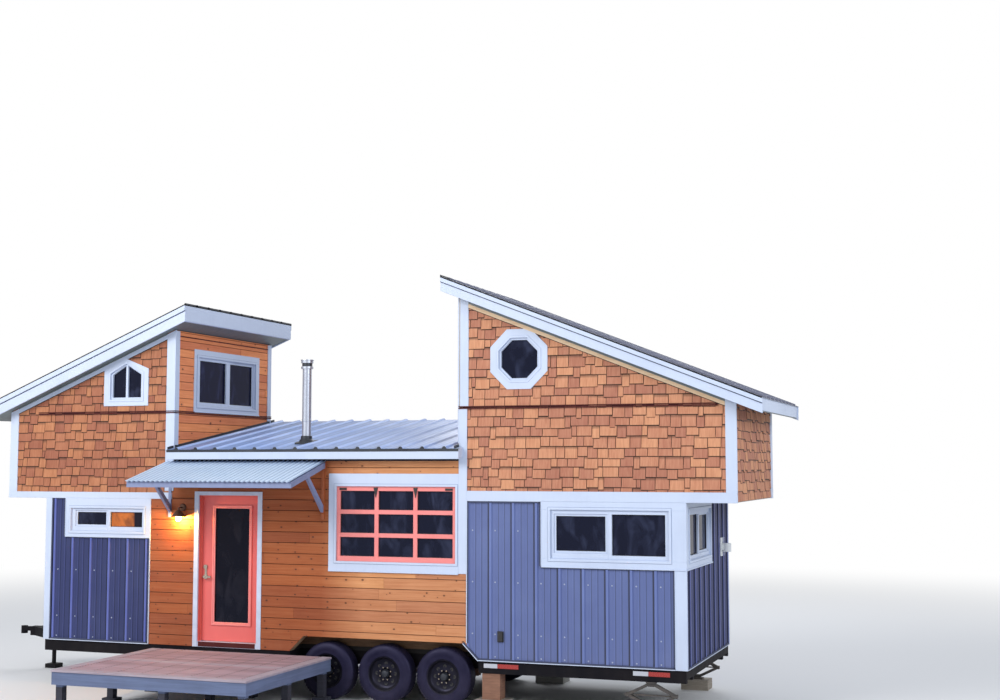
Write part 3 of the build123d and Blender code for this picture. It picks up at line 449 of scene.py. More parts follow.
# A brighter, more orange copy of the cedar boards for the left loft's inner wall: partly the boards' own colour, partly
# painted light against that wall's shade
PLANK_LOFT_LIT = wood_finish("orange cedar boards painted lit", (0.84, 0.275, 0.105, 1), (0.66, 0.190, 0.070, 1), (1.7, 1.7, 42.0),
                         spread=0.30, knots=3.0, stops=LOFT_SHADE)
UNDER_EDGE = paint_finish("dark shadow strip", (0.008, 0.008, 0.014, 1), (0.020, 0.016, 0.020, 1), gloss=0.8)
FELT = paint_finish("building felt", (0.035, 0.016, 0.010, 1), (0.060, 0.028, 0.016, 1), gloss=0.85)
SIDING = paint_finish("blue grey siding", (0.087, 0.119, 0.285, 1), (0.110, 0.148, 0.325, 1), (4.0, 4.0, 1.2), wear=0.6,
                      gloss=0.42, dust=0.18, dust_top=1.0, depth=0.0003, stops=SIDING_SHADE, gain=1.6)
# A darker copy of the siding paint, painted shade for the left front panel and the right end; its stops and gain also
# paint a highlight on each crest
SIDING_IN_SHADE = paint_finish("blue siding in painted shade", (0.028, 0.037, 0.118, 1), (0.040, 0.051, 0.137, 1), (4.0, 4.0, 1.2),
                           wear=0.6, gloss=0.46, depth=0.0003, stops=DEEP_SHADE, gain=3.2, Specular_IOR_Level=0.25)
SCREW_HEAD = paint_finish("pale screw heads", (0.36, 0.40, 0.52, 1), (0.22, 0.25, 0.34, 1), gloss=0.35, Metallic=0.3)
SHADOW_LINE = paint_finish("painted shadow line", (0.035, 0.045, 0.095, 1), (0.055, 0.070, 0.130, 1), gloss=0.7)
CASING_SHADOW = paint_finish("soft painted shadow of the casing", (0.30, 0.36, 0.50, 1), (0.24, 0.29, 0.42, 1), gloss=0.7)
WHITE = paint_finish("cool white paint", (0.525, 0.60, 0.76, 1), (0.41, 0.475, 0.63, 1), (36.0, 36.0, 4.0), wear=0.30,
                     gloss=0.45, dust=0.25)
SOFFIT = paint_finish("shaded soffit paint", (0.15, 0.18, 0.19, 1), (0.10, 0.125, 0.13, 1), (6.0, 40.0, 6.0), wear=0.4)
FRIEZE = wood_finish("cream frieze board", (0.82, 0.62, 0.42, 1), (0.66, 0.46, 0.28, 1), (2.0, 40.0, 30.0), tone=0.4)
CORAL = paint_finish("coral paint", (0.75, 0.146, 0.134, 1), (0.63, 0.110, 0.100, 1), (36.0, 36.0, 3.0), wear=0.35,
                     gloss=0.36)
CORAL_PALE = paint_finish("coral window paint", (0.82, 0.245, 0.235, 1), (0.70, 0.180, 0.170, 1), (30.0, 30.0, 9.0),
                          wear=0.35, gloss=0.38)
FRAME_PAINT = two_part_finish("white door frame with coral jamb", (0.525, 0.60, 0.76, 1), (0.72, 0.135, 0.110, 1), (
    (0, 1, DOOR[0] - 0.011 + PLACE.x), (0, -1, DOOR[1] + 0.011 + PLACE.x), (2, 1, 0.668), (2, -1, DOOR[3] + 0.011)))
RED_SEAM = paint_finish("dark red flashing", (0.060, 0.009, 0.010, 1), (0.095, 0.016, 0.015, 1), wear=0.5, gloss=0.6,
                        Specular_IOR_Level=0.2)
DARK_METAL = paint_finish("dark flashing", (0.022, 0.026, 0.036, 1), (0.06, 0.066, 0.08, 1), wear=0.5, gloss=0.42,
                          Metallic=0.5)
# Roof sheets in bands along their ribs: painted highlights on the crests and painted shade beside them
ROOF_METAL = banded_finish("pale blue roof sheet", (0.270, 0.390, 0.700, 1), (0.030, 0.045, 0.130, 1), 0,
                           FIRST_RIB + PLACE.x, [(0.0, 1.0), (0.09, 1.0), (0.14, 0.45), (0.24, 0.75), (0.33, 0.50),
                                                 (0.43, 0.80), (0.60, 0.45), (0.68, 0.70), (0.80, 0.12),
                                                 (0.92, 0.05), (1.0, 1.0)])
ROOF_DARK = banded_finish("blue grey roof sheet", (0.19, 0.20, 0.27, 1), (0.085, 0.090, 0.130, 1), 1, -1.184 + PLACE.y,
                          [(0.0, 1.0), (0.10, 0.9), (0.16, 0.3), (0.5, 0.6), (0.82, 0.4), (0.90, 0.0), (1.0, 1.0)])
FRAME_STEEL = paint_finish("black frame steel", (0.005, 0.005, 0.008, 1), (0.014, 0.012, 0.014, 1), (9.0, 9.0, 9.0),
                           wear=0.7, gloss=0.62, dust=0.05, dust_top=0.7, Specular_IOR_Level=0.08)
SPRING_STEEL = paint_finish("worn spring steel", (0.035, 0.032, 0.032, 1), (0.13, 0.065, 0.04, 1), (5.0, 60.0, 60.0),
                            wear=0.9, gloss=0.6, dust=0.6, Metallic=0.5)
RUBBER = paint_finish("tyre rubber", (0.006, 0.005, 0.018, 1), (0.018, 0.017, 0.040, 1), (12.0, 12.0, 12.0), wear=0.8,
                      gloss=0.46, dust=0.04, dust_top=0.5, depth=0.0006, Specular_IOR_Level=0.28,
                      Specular_Tint=(0.6, 0.6, 1.0, 1.0))
RIM = paint_finish("black wheel rim", (0.004, 0.004, 0.007, 1), (0.014, 0.014, 0.020, 1), (18.0, 18.0, 18.0), wear=0.6,
                   gloss=0.36, dust=0.04, dust_top=0.5, Specular_IOR_Level=0.25, Specular_Tint=(0.6, 0.6, 1.0, 1.0))
DECKING = wood_finish("deck boards", (0.365, 0.262, 0.310, 1), (0.210, 0.140, 0.168, 1), (1.6, 46.0, 46.0), spread=0.32,
                      depth=0.0015)
DECK_EDGE = wood_finish("deck border boards", (0.43, 0.37, 0.44, 1), (0.28, 0.235, 0.285, 1), (2.2, 20.0, 40.0),
                        spread=0.2, depth=0.0012)
# Deck timber near black below the rim beam: painted shade under the deck
TIMBER = split_finish("blue grey deck timber over painted shade", ((0.030, 0.032, 0.050, 1), (0.018, 0.018, 0.028, 1)),
                      ((0.125, 0.165, 0.290, 1), (0.080, 0.105, 0.190, 1)), 0.345, (1.5, 1.5, 34.0))
PINE = wood_finish("inside pine boards", (0.46, 0.35, 0.22, 1), (0.33, 0.235, 0.14, 1), (1.4, 1.4, 30.0), tone=0.5)
# Floor boards above, and below them an underside near black: painted shade under the house
FLOOR = split_finish("floor boards over an underside in painted shade", ((0.010, 0.009, 0.010, 1), (0.005, 0.005, 0.006, 1)),
                     ((0.24, 0.14, 0.075, 1), (0.13, 0.07, 0.036, 1)), 0.655)
PIER = split_finish("pier blocks", ((0.36, 0.35, 0.33, 1), (0.24, 0.235, 0.22, 1)), ((0.27, 0.135, 0.085, 1),
                    (0.14, 0.065, 0.042, 1)), 0.132)
JACK = split_finish("jack and its pad", ((0.34, 0.30, 0.25, 1), (0.20, 0.17, 0.14, 1)), ((0.035, 0.034, 0.036, 1),
                    (0.09, 0.075, 0.065, 1)), 0.131)
AWNING_WOOD = two_part_finish("awning timber", (0.20, 0.24, 0.40, 1), (0.34, 0.085, 0.024, 1), (
    (1, 1, -1.345 + PLACE.y), (0, 1, -1.5 + PLACE.x)))
BRONZE = paint_finish("copper brown lamp metal", (0.085, 0.038, 0.024, 1), (0.16, 0.075, 0.040, 1), wear=0.6,
                      gloss=0.42, Metallic=0.5)
NICKEL = paint_finish("warm nickel", (0.36, 0.30, 0.25, 1), (0.52, 0.47, 0.40, 1), (90.0, 90.0, 12.0), wear=0.6,
                      gloss=0.24, Metallic=1.0)
STEEL_PIPE = paint_finish("bright stove pipe", (0.36, 0.39, 0.47, 1), (0.50, 0.54, 0.62, 1), (60.0, 60.0, 3.0),
                          wear=0.6, gloss=0.36, Metallic=0.8)
VENT = paint_finish("vent plastic", (0.66, 0.69, 0.72, 1), (0.5, 0.52, 0.54, 1), wear=0.5, gloss=0.4)
BLACK_PLASTIC = paint_finish("black plastic", (0.010, 0.010, 0.012, 1), (0.03, 0.03, 0.032, 1), wear=0.4, gloss=0.45)
REFLECT_WHITE = paint_finish("white marker plate", (0.46, 0.48, 0.54, 1), (0.36, 0.37, 0.42, 1), (150.0, 150.0, 150.0),
                             gloss=0.25)
REFLECT_RED = paint_finish("red marker plate", (0.33, 0.030, 0.025, 1), (0.25, 0.020, 0.018, 1), (150.0, 150.0, 150.0),
                           gloss=0.25)
GLASS = glass_finish("window glass", (0.005, 0.006, 0.016, 1), (0.030, 0.036, 0.070, 1), 0.15)
GLASS_LOFT = glass_finish("dark loft glass", (0.006, 0.007, 0.030, 1), (0.022, 0.026, 0.080, 1), 0.08, 0.05)
GLASS_DEEP = glass_finish("dark door glass", (0.004, 0.004, 0.007, 1), (0.014, 0.014, 0.020, 1), 0.10, 0.12)
GLASS_WARM = glass_finish("window glass with warm room light", (0.60, 0.17, 0.035, 1), (0.10, 0.035, 0.020, 1), 0.05,
                          room_edge=-3.125 + PLACE.x)
ZINC = zinc_finish()
BULB = bulb_finish()


# Solid shapes as points and faces, in a wall's own across, up and out, or in the house's X, Y and Z
def solid(outline, along):
    count = len(outline)
    near = [Vector(p) for p in outline]
    faces = [list(reversed(range(count))), list(range(count, 2 * count))]
    for k in range(count):
        j = (k + 1) % count
        faces.append([k, j, j + count, k + count])
    return near + [p + Vector(along) for p in near], faces


def plate(outline, inner, outer):
    return solid([(u, v, inner) for u, v in outline], (0, 0, outer - inner))


def block(x0, x1, y0, y1, z0, z1):
    return solid([(x0, y0, z0), (x1, y0, z0), (x1, y1, z0), (x0, y1, z0)], (0, 0, z1 - z0))


def box(u0, u1, v0, v1):
    return [(u0, v0), (u1, v0), (u1, v1), (u0, v1)]


def ring(outer, inner, low, high):
    # a flat ring between two outlines of as many corners
    count = len(outer)
    points = [(u, v, depth) for outline, depth in ((outer, low), (outer, high), (inner, high), (inner, low))
              for u, v in outline]
    faces = []
    for a in range(4):
        here, there = a * count, (a + 1) % 4 * count
        for k in range(count):
            j = (k + 1) % count
            faces.append([here + k, here + j, there + j, there + k])
    return points, faces


def turned(profile, centre=(0, 0, 0), sides=32, lying=False):
    # profile of radius and height turned round Z, or Y when lying, closed where the radius is nought
    turn = Matrix.Rotation(math.radians(90), 3, "X") if lying else Matrix.Identity(3)
    points, rings, faces = [], [], []
    for radius, height in profile:
        count = 1 if radius < 1e-6 else sides
        rings.append(range(len(points), len(points) + count))
        for k in range(count):
            angle = math.tau * k / sides
            reach = 0 if count == 1 else radius
            spot = Vector((reach * math.cos(angle), reach * math.sin(angle), height))
            points.append(turn @ spot + Vector(centre))
    for low, high in zip(rings, rings[1:]):
        for k in range(sides):
            j = (k + 1) % sides
            if len(low) == 1 and len(high) > 1:
                faces.append([low[0], high[j], high[k]])
            elif len(high) == 1 and len(low) > 1:
                faces.append([low[k], low[j], high[0]])
            elif len(low) > 1:
                faces.append([low[k], low[j], high[j], high[k]])
    return points, faces


def build(shapes, work=None):
    work = work or bmesh.new()
    for points, faces in shapes:
        verts = [work.verts.new(p) for p in points]
        for face in faces:
            work.faces.new([verts[k] for k in face])
    return work


def round_over(work, amount):
    bmesh.ops.recalc_face_normals(work, faces=work.faces[:])
    sharp = [e for e in work.edges if len(e.link_faces) == 2 and e.calc_face_angle(0.0) > 0.6]
    bmesh.ops.bevel(work, geom=sharp, offset=amount, segments=1, affect="EDGES", clamp_overlap=True)


def to_mesh(work, name):
    bmesh.ops.recalc_face_normals(work, faces=work.faces[:])
    mesh = bpy.data.meshes.new(name)
    work.to_mesh(mesh)
    work.free()
    return mesh


def to_work(mesh):
    work = bmesh.new()
    work.from_mesh(mesh)
    return work


def put_in_scene(name, data):
    made = bpy.data.objects.new(name, data)
    scene.collection.objects.link(made)
    return made


def settle(shapes, name, finish, slot, plane=HOUSE, body="house", stands_for=(), ease=0.0, smooth=0.0):
    # the finished piece, from shapes or from a mesh, with its place in its mesh
    if isinstance(shapes, list):
        shapes = build(shapes)
    if isinstance(shapes, bmesh.types.BMesh):
        if ease:
            round_over(shapes, ease)
        shapes = to_mesh(shapes, name)
    shapes.transform(plane)
    shapes.materials.clear()
    for one in finish if isinstance(finish, list) else [finish]:
        shapes.materials.append(one)
    if smooth:
        shapes.shade_smooth()
        shapes.set_sharp_from_angle(angle=smooth)
    piece = put_in_scene(name, shapes)
    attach(piece, body)
    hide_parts(*stands_for)


# Geometry trees for what repeats
def chance(tree, seed, low=None, high=None, number=None):
    made = Node(tree, "FunctionNodeRandomValue", data_type="FLOAT").made
    for label, value in (("Min", low), ("Max", high), ("ID", number), ("Seed", seed)):
        if value is not None:
            fill(tree, next(s for s in made.inputs if s.name == label and s.enabled), value)
    return Value(tree, next(s for s in made.outputs if s.enabled))


def geometry_tree(name, inputs):
    tree, given, result = group_tree(name, inputs, {"Geometry": GEOMETRY}, "GeometryNodeTree")
    return tree, given, result, Node(tree, "GeometryNodeInputIndex")[0]


def row_and_column(index, count):
    row = reckon("FLOOR", (index + 0.5) / count)
    return row, index - row * count


def hand_over(given, result, geometry):
    # the last step of every tree: instances made real and given their finish
    real = node("GeometryNodeRealizeInstances", {"Geometry": geometry})[0]
    result["Geometry"] = node("GeometryNodeSetMaterial", {"Geometry": real, "Material": given["Finish"]})[0]


def set_out(given, result, count, spot, tone=None, **laid):
    # the piece on every point, with the tone that its finish reads
    points = node("GeometryNodePoints", {"Count": count})[0]
    placed = node("GeometryNodeSetPosition", {"Geometry": points, "Position": spot})[0]
    piece = node("GeometryNodeObjectInfo", {"Object": given["Piece"]})["Geometry"]
    pieces = node("GeometryNodeInstanceOnPoints", {"Points": placed, "Instance": piece, **laid})[0]
    if tone:
        pieces = node("GeometryNodeStoreNamedAttribute", {"Geometry": pieces, "Name": "tone", "Value": tone},
                      data_type="FLOAT", domain="INSTANCE")[0]
    hand_over(given, result, pieces)


def courses_tree():
    tree, given, result, index = geometry_tree("Cladding Courses", {
        "Wall Width": 2.0, "Wall Height": 1.0, "Exposure": 0.135, "Piece Width": 0.14, "Width Spread": 0.35,
        "Gap": 0.003, "Lap": 0.02, "Thickness": 0.011, "Stagger": 0.02, "Twist": 0.008, "Seed": 1, **LAID})
    wide, exposure, twist = given["Piece Width"], given["Exposure"], given["Twist"]
    columns = reckon("CEIL", given["Wall Width"] / wide + 3.0)
    rows = reckon("CEIL", given["Wall Height"] / exposure + 1.0)
    row, column = row_and_column(index, columns)

    def draw(low, high, number, extra):
        return chance(tree, given["Seed"] + extra, low, high, number)

    spread = wide * given["Width Spread"]
    narrow = spread * -1.0
    here = draw(narrow, spread, index, 0.0)
    following = draw(narrow, spread, index + 1.0, 0.0)
    left = (column - 1.6) * wide + here + draw(0.0, wide, row, 50.0)
    width = wide + (following - here) - given["Gap"]
    dropped = reckon("GREATER_THAN", draw(0.0, 1.0, index, 90.0), 0.52)
    drop = (dropped * draw(0.55, 0.9, index, 95.0) + draw(0.0, 0.1, index, 97.0)) * given["Stagger"]
    thick = given["Thickness"] * draw(0.78, 1.15, index, 130.0)
    set_out(given, result, columns * rows, joined({0: left, 1: row * exposure - drop}), draw(0.0, 1.0, index, 210.0),
            Rotation=joined({2: draw(twist * -1.0, twist, index, 170.0)}),
            Scale=joined({0: width, 1: exposure + given["Lap"], 2: thick}))
    return tree


def rows_tree():
    tree, given, result, index = geometry_tree("Even Rows", {
        "Count": 4, "Step": (0.1, 0.0, 0.0), "Rows": 1, "Row Step": (0.0, 0.1, 0.0),
        "Start": (0.0, 0.0, 0.0), "Seed": 1, **LAID})
    row, column = row_and_column(index, given["Count"])
    spot = vectors("ADD", scaled(given["Step"], column), scaled(given["Row Step"], row))
    set_out(given, result, given["Count"] * given["Rows"], vectors("ADD", spot, given["Start"]),
            chance(tree, given["Seed"]))
    return tree


def ring_tree():
    tree, given, result, index = geometry_tree("Ring Round A Hub", {
        "Count": 8, "Radius": 0.08, "First Angle": 0.0, **LAID})
    angle = index / given["Count"] * math.tau + given["First Angle"]
    spot = joined({0: reckon("COSINE", angle) * given["Radius"], 1: reckon("SINE", angle) * given["Radius"]})
    set_out(given, result, given["Count"], spot, Rotation=joined({2: angle}))
    return tree


def wavy_tree():
    tree, given, result, index = geometry_tree("Wavy Sheet", {
        "Width": 2.364, "Run": 1.0, "Wave Pitch": 0.0695, "Wave Height": 0.013, "Points Each Wave": 8.0,
        "Finish": LAID["Finish"]})
    count = given["Width"] / given["Wave Pitch"] * given["Points Each Wave"]
    grid = node("GeometryNodeMeshGrid", {
        "Size X": given["Width"], "Size Y": given["Run"], "Vertices X": reckon("ROUND", count) + 1.0, "Vertices Y": 9,
    })[0]
    turn = parts(Node(tree, "GeometryNodeInputPosition")[0])[0] / given["Wave Pitch"] * math.tau
    rise = (reckon("COSINE", turn) + 1.0) * (given["Wave Height"] * 0.5)
    hand_over(given, result, node("GeometryNodeSetPosition", {"Geometry": grid, "Offset": joined({2: rise})})[0])
    return tree


COURSES = courses_tree()
ROWS = rows_tree()
RING = ring_tree()
patterns = []


def pattern(name, work):
    # a shape that a tree repeats, taken away once the house is whole
    patterns.append(put_in_scene(name, to_mesh(work, name)))
    return patterns[-1]


def grow(tree, sizes):
    holder = put_in_scene("growing", bpy.data.meshes.new("growing"))
    modifier = holder.modifiers.new("grow", "NODES")
    modifier.node_group = tree
    for item in tree.interface.items_tree:
        if item.item_type == "SOCKET" and item.in_out == "INPUT" and item.name in sizes:
            modifier[item.identifier] = sizes[item.name]
    graph = bpy.context.evaluated_depsgraph_get()
    mesh = bpy.data.meshes.new_from_object(holder.evaluated_get(graph), preserve_all_data_layers=True, depsgraph=graph)
    holder.modifiers.remove(modifier)
    bpy.data.objects.remove(holder)
    return mesh


def grow_ring(count, radius, first, piece, finish, up):
    mesh = grow(RING, {"Count": count, "Radius": radius, "First Angle": first, "Piece": piece, "Finish": finish})
    mesh.transform(Matrix.Translation((0, 0, up)))
    return mesh


# Cutting a cladding to its wall
def take_side(work, spot, away, outside=False):
    every = work.verts[:] + work.edges[:] + work.faces[:]
    bmesh.ops.bisect_plane(work, geom=every, dist=1e-6, plane_co=spot, plane_no=away, clear_outer=not outside,
                           clear_inner=outside)
    bmesh.ops.holes_fill(work, edges=[e for e in work.edges if len(e.link_faces) == 1], sides=0)


def sides_of(outline):
    area = sum(a[0] * b[1] - b[0] * a[1] for a, b in zip(outline, outline[1:] + outline[:1]))
    corners = list(outline) if area > 0 else list(reversed(outline))
    for a, b in zip(corners, corners[1:] + corners[:1]):
        yield Vector((a[0], a[1], 0)), Vector((b[1] - a[1], a[0] - b[0], 0)).normalized()


def loose_parts(work):
    seen, found = set(), []
    for face in work.faces:
        if face in seen:
            continue
        part, queue = [], [face]
        seen.add(face)
        while queue:
            here = queue.pop()
            part.append(here)
            for edge in here.edges:
                for other in edge.link_faces:
                    if other not in seen:
                        seen.add(other)
                        queue.append(other)
        found.append(part)
    return found


def corners_of(part):
    return {v for face in part for v in face.verts}


def join_in(work, extra):
    spare = bpy.data.meshes.new("part")
    extra.to_mesh(spare)
    extra.free()
    work.from_mesh(spare)
    bpy.data.meshes.remove(spare)


def cut_hole(work, outline):
    # what lies over the opening is cut away side by side, so each piece left stays closed
    low, high = ([pick(p[k] for p in outline) for k in (0, 1)] for pick in (min, max))
    busy = work.copy()
    touched = [all(max(v.co[k] for v in corners_of(part)) > low[k] and min(v.co[k] for v in corners_of(part)) < high[k]
                   for k in (0, 1)) for part in loose_parts(work)]
    for mesh, wanted in ((work, False), (busy, True)):
        spare = [f for part, hit in zip(loose_parts(mesh), touched) if hit != wanted for f in part]
        bmesh.ops.delete(mesh, geom=spare, context="FACES")
    for spot, away in sides_of(outline):
        outer = busy.copy()
        take_side(outer, spot, away, True)
        join_in(work, outer)
        take_side(busy, spot, away)
    busy.free()


BACKING = 0.0015


def clad(name, mesh, finishes, slot, plane, outlines, holes):
    # outlines are convex, and together they are the wall that the cladding covers, on a thin backing
    whole = bmesh.new()
    for outline in outlines:
        part = to_work(mesh)
        for spot, away in sides_of(outline):
            take_side(part, spot, away)
        first = len(part.faces)
        build([plate(outline, 0.0, BACKING)], part)
        part.faces.ensure_lookup_table()
        for face in part.faces[first:]:
            face.material_index = 1
        join_in(whole, part)
    for outline in holes:
        cut_hole(whole, outline)
    settle(whole, name, finishes, slot, plane)


def keep_shade(work, shade_of):
    # writes a shade on every corner of every face, from the face's direction and the corner's place
    bmesh.ops.recalc_face_normals(work, faces=work.faces[:])
    layer = work.loops.layers.float.new("shade")
    for face in work.faces:
        for loop in face.loops:
            loop[layer] = shade_of(face.normal, loop.vert.co)
    return work


# Painted shade on a shingle: the butt face darkest, the sides dark, and the front face from butt to top, which the
# stops darken near the butt and just under the next course
def shingle_shade(way, spot):
    if way.z > 0.5:
        return 0.5 + 0.5 * spot.y
    return 0.0 if way.y < -0.5 else 0.18


def board_shade(way, spot):
    if way.z > 0.9:
        return 1.0
    return 0.8 if 0.02 < spot.y < 0.98 else 0.1


SHINGLE_POINTS = [(0, -0.11, 0), (1, -0.11, 0), (1, 1, 0), (0, 1, 0), (0.015, 0, 1), (0.985, 0, 1), (0.985, 1, 0.24),
                  (0.015, 1, 0.24)]
SHINGLE_SHAPE = pattern("shingle shape", keep_shade(build([(SHINGLE_POINTS, solid(SHINGLE_POINTS[:4], (0, 0, 1))[1])]),
                                                    shingle_shade))
BOARD_SHAPE = pattern("board shape", keep_shade(build([solid(
    [(0, 0, 0), (0, 0, 0.45), (0, 0.03, 1), (0, 0.97, 1), (0, 1, 0.45), (0, 1, 0)], (1, 0, 0))]), board_shade))
SCREW_SHAPE = pattern("screw shape", build([turned(
    [(0, 0), (0.00975, 0), (0.00975, 0.0012), (0.0065, 0.0014), (0.0065, 0.004), (0, 0.004)], sides=8)]))


def spans(outlines):
    us, vs = zip(*(corner for outline in outlines for corner in outline))
    return min(us), max(us), min(vs), max(vs)


def coursed(name, plane, outlines, seed, holes, finish, slot, sizes):
    u0, u1, v0, v1 = spans(outlines)
    mesh = grow(COURSES, {"Wall Width": u1 - u0, "Wall Height": v1 - v0, "Seed": seed, "Finish": finish, **sizes})
    mesh.transform(Matrix.Translation((u0, v0, 0.001)))
    clad(name, mesh, [finish, FELT], slot, plane, outlines, holes)


def shingled(name, plane, outline, seed, holes=(), finish=SHINGLE):
    coursed(name, plane, [outline], seed, holes, finish, "cedar_shingle", {
        "Exposure": 0.1235, "Piece Width": 0.148, "Width Spread": 0.38, "Gap": 0.004, "Lap": 0.022, "Thickness": 0.0160,
        "Stagger": 0.036, "Twist": 0.005, "Piece": SHINGLE_SHAPE})


def planked(name, plane, outlines, seed, holes=(), exposure=0.1385, finish=PLANK):
    coursed(name, plane, outlines, seed, holes, finish, "cedar_board", {
        "Exposure": exposure, "Piece Width": 2.6, "Width Spread": 0.30, "Gap": 0.002, "Lap": -0.003, "Thickness": 0.012,
        "Stagger": 0.0, "Twist": 0.0, "Piece": BOARD_SHAPE})


# Ribbed steel siding: one pitch of the sheet is drawn once and set side by side
def siding_shape(height):
    # across, out and shade: painted shade in a strip before each main rib, a painted highlight on its crest, and two
    # low ribs between, each with a lit crest and a shaded flank
    line = [(0.0, 0.002, 0.5), (0.004, 0.002, 0.4), (0.008, 0.002, 0.0), (0.020, 0.004, 0.0), (0.031, 0.019, 0.75),
            (0.040, 0.019, 1.0), (0.058, 0.019, 0.92), (0.069, 0.003, 0.58)]
    for rib in (0.118, 0.198):
        line += [(rib, 0.002, 0.5), (rib + 0.007, 0.006, 0.68), (rib + 0.019, 0.006, 0.66), (rib + 0.025, 0.002, 0.24),
                 (rib + 0.036, 0.002, 0.5)]
    line.append((PITCH, 0.002, 0.5))
    skin = 0.0012
    sheet = build([solid([(u, 0, n) for u, n, shade in line] + [(u, 0, n + skin) for u, n, shade in reversed(line)],
                         (0, height, 0))])
    shades = {round(u, 4): shade for u, n, shade in line}
    return pattern("siding shape", keep_shade(sheet, lambda way, spot: shades[round(spot.x, 4)]))


def drop_outside(work, outline, holes):
    # takes away whole small heads that lie off the panel or over an opening
    def inside(spot, limits, margin):
        return all((spot - corner).dot(away) < margin for corner, away in sides_of(limits))

    for part in loose_parts(work):
        corners = corners_of(part)
        middle = sum((v.co for v in corners), Vector()) / len(corners)
        middle.z = 0
        if not inside(middle, outline, -0.02) or any(inside(middle, hole, 0.02) for hole in holes):
            bmesh.ops.delete(work, geom=list(corners), context="VERTS")


SCREW_ASIDE, SCREW_OUT = 0.103, 0.0032


def sided(name, plane, outline, first_rib, holes=(), screw_rows=(0.655, 0.926, 1.555), finish=SIDING):
    u0, u1, v0, v1 = spans([outline])
    start = first_rib - math.ceil((first_rib - u0) / PITCH) * PITCH
    row = {"Count": math.ceil((u1 - start) / PITCH), "Step": (PITCH, 0.0, 0.0), "Rows": 1, "Seed": 5}
    mesh = grow(ROWS, {**row, "Piece": siding_shape(v1 - v0), "Finish": finish})
    mesh.transform(Matrix.Translation((start, v0, 0.0)))
    clad(name, mesh, [finish, DARK_METAL], "siding_metal", plane, [outline], holes)
    for number, height in enumerate(screw_rows, start=1):
        heads = to_work(grow(ROWS, {**row, "Start": (start + SCREW_ASIDE, height, SCREW_OUT), "Piece": SCREW_SHAPE,
                                    "Finish": SCREW_HEAD}))
        drop_outside(heads, outline, holes)
        settle(heads, f"{name}_screws_{number}", SCREW_HEAD, "siding_metal", plane)


# Openings and outlines that the claddings are cut to
OCTAGON_AT = (2.430, 4.290)


def pentagon(side, low):
    return [(-3.510 - side, 3.870 - low), (-2.985 + side, 3.870 - low), (-2.985 + side, 4.240 + side * 0.6),
            (-3.2475, 4.375 + side * 0.65), (-3.510 - side, 4.240 + side * 0.6)]


def octagon(flat):
    reach = flat / math.cos(math.pi / 8)
    turns = [math.pi / 8 + k * math.pi / 4 for k in range(8)]
    return [(OCTAGON_AT[0] + reach * math.cos(a), OCTAGON_AT[1] + reach * math.sin(a)) for a in turns]


def mirrored(outline):
    return [(-u, v) for u, v in outline]


def loft_outline(x0, x1, low, under, extra=0.03):
    return [(x0, low), (x1, low), (x1, under(x1) + extra), (x0, under(x0) + extra)]


def inner_outline(top):
    return [(-END_WIDE, middle_top(-HALF_WIDE) - 0.02), (END_WIDE, middle_top(HALF_WIDE) - 0.02), (END_WIDE, top),
            (-END_WIDE, top)]


GAP, LOFT_FOOT = 0.004, 2.600
END_WIDE = HALF_WIDE - GAP
LEFT_FACE = loft_outline(LEFT_OUT + GAP, LEFT_IN - GAP, LOFT_FOOT, left_under)
shingled("shingles_left_loft_front", FRONT, LEFT_FACE, 11, [pentagon(0.045, 0.045)], SHINGLE_DEEP)
shingled("shingles_right_loft_front", FRONT, loft_outline(RIGHT_IN + 0.05, RIGHT_OUT - GAP, LOFT_FOOT, right_under), 23,
         [octagon(0.322)])
shingled("shingles_left_loft_back", BACK, mirrored(LEFT_FACE), 37)
shingled("shingles_right_loft_back", BACK,
         mirrored(loft_outline(RIGHT_IN + GAP, RIGHT_OUT - GAP, LOFT_FOOT, right_under)), 41)
LEFT_END_TOP, RIGHT_END_TOP = left_under(LEFT_OUT), right_under(RIGHT_OUT)
shingled("shingles_left_loft_end", facing_left(LEFT_OUT), box(-END_WIDE, END_WIDE, LOFT_FOOT, LEFT_END_TOP + 0.01), 53)
shingled("shingles_right_loft_end", facing_right(RIGHT_OUT), box(-END_WIDE, END_WIDE, 2.560, RIGHT_END_TOP + 0.01), 61)

# Boards of the middle front wall, beside and over the door, and on the inner sides of the lofts
LEFT_PANEL, RIGHT_PANEL, PANEL_FOOT = -2.822, 1.752, SILL + 0.006
MIDDLE_TOP = middle_under(-HALF_WIDE) + 0.005
ARCH = [(-0.700, 0.55), (1.900, 0.55), (1.900, 0.600), (1.700, 0.800), (-0.500, 0.800), (-0.700, 0.600)]
CASE_LEFT, CASE_RIGHT, CASE_TOP = -2.126, -1.129, 2.625
planked("boards_middle_front", FRONT, [
    box(CASE_RIGHT, RIGHT_PANEL, SILL, LOFT_LOW), box(CASE_RIGHT, RIGHT_IN + 0.01, LOFT_LOW, MIDDLE_TOP),
], 71, [box(-0.120, 1.632, 1.675, 2.850), ARCH])
planked("boards_beside_door", FRONT, [box(-2.812, CASE_LEFT, SILL, LOFT_LOW)], 79)
planked("boards_over_door", FRONT, [
    box(LEFT_IN, CASE_RIGHT, CASE_TOP, MIDDLE_TOP), box(LEFT_IN, CASE_LEFT, LOFT_LOW, CASE_TOP),
], 83)
planked("boards_left_loft_inner", facing_right(LEFT_IN), [inner_outline(left_under(LEFT_IN) + 0.004)], 89,
        [box(-0.805, 0.915, 3.757, 4.550)], 0.112, PLANK_LOFT_LIT)
planked("boards_right_loft_inner", facing_left(RIGHT_IN), [mirrored(inner_outline(right_under(RIGHT_IN) + 0.004))], 97)

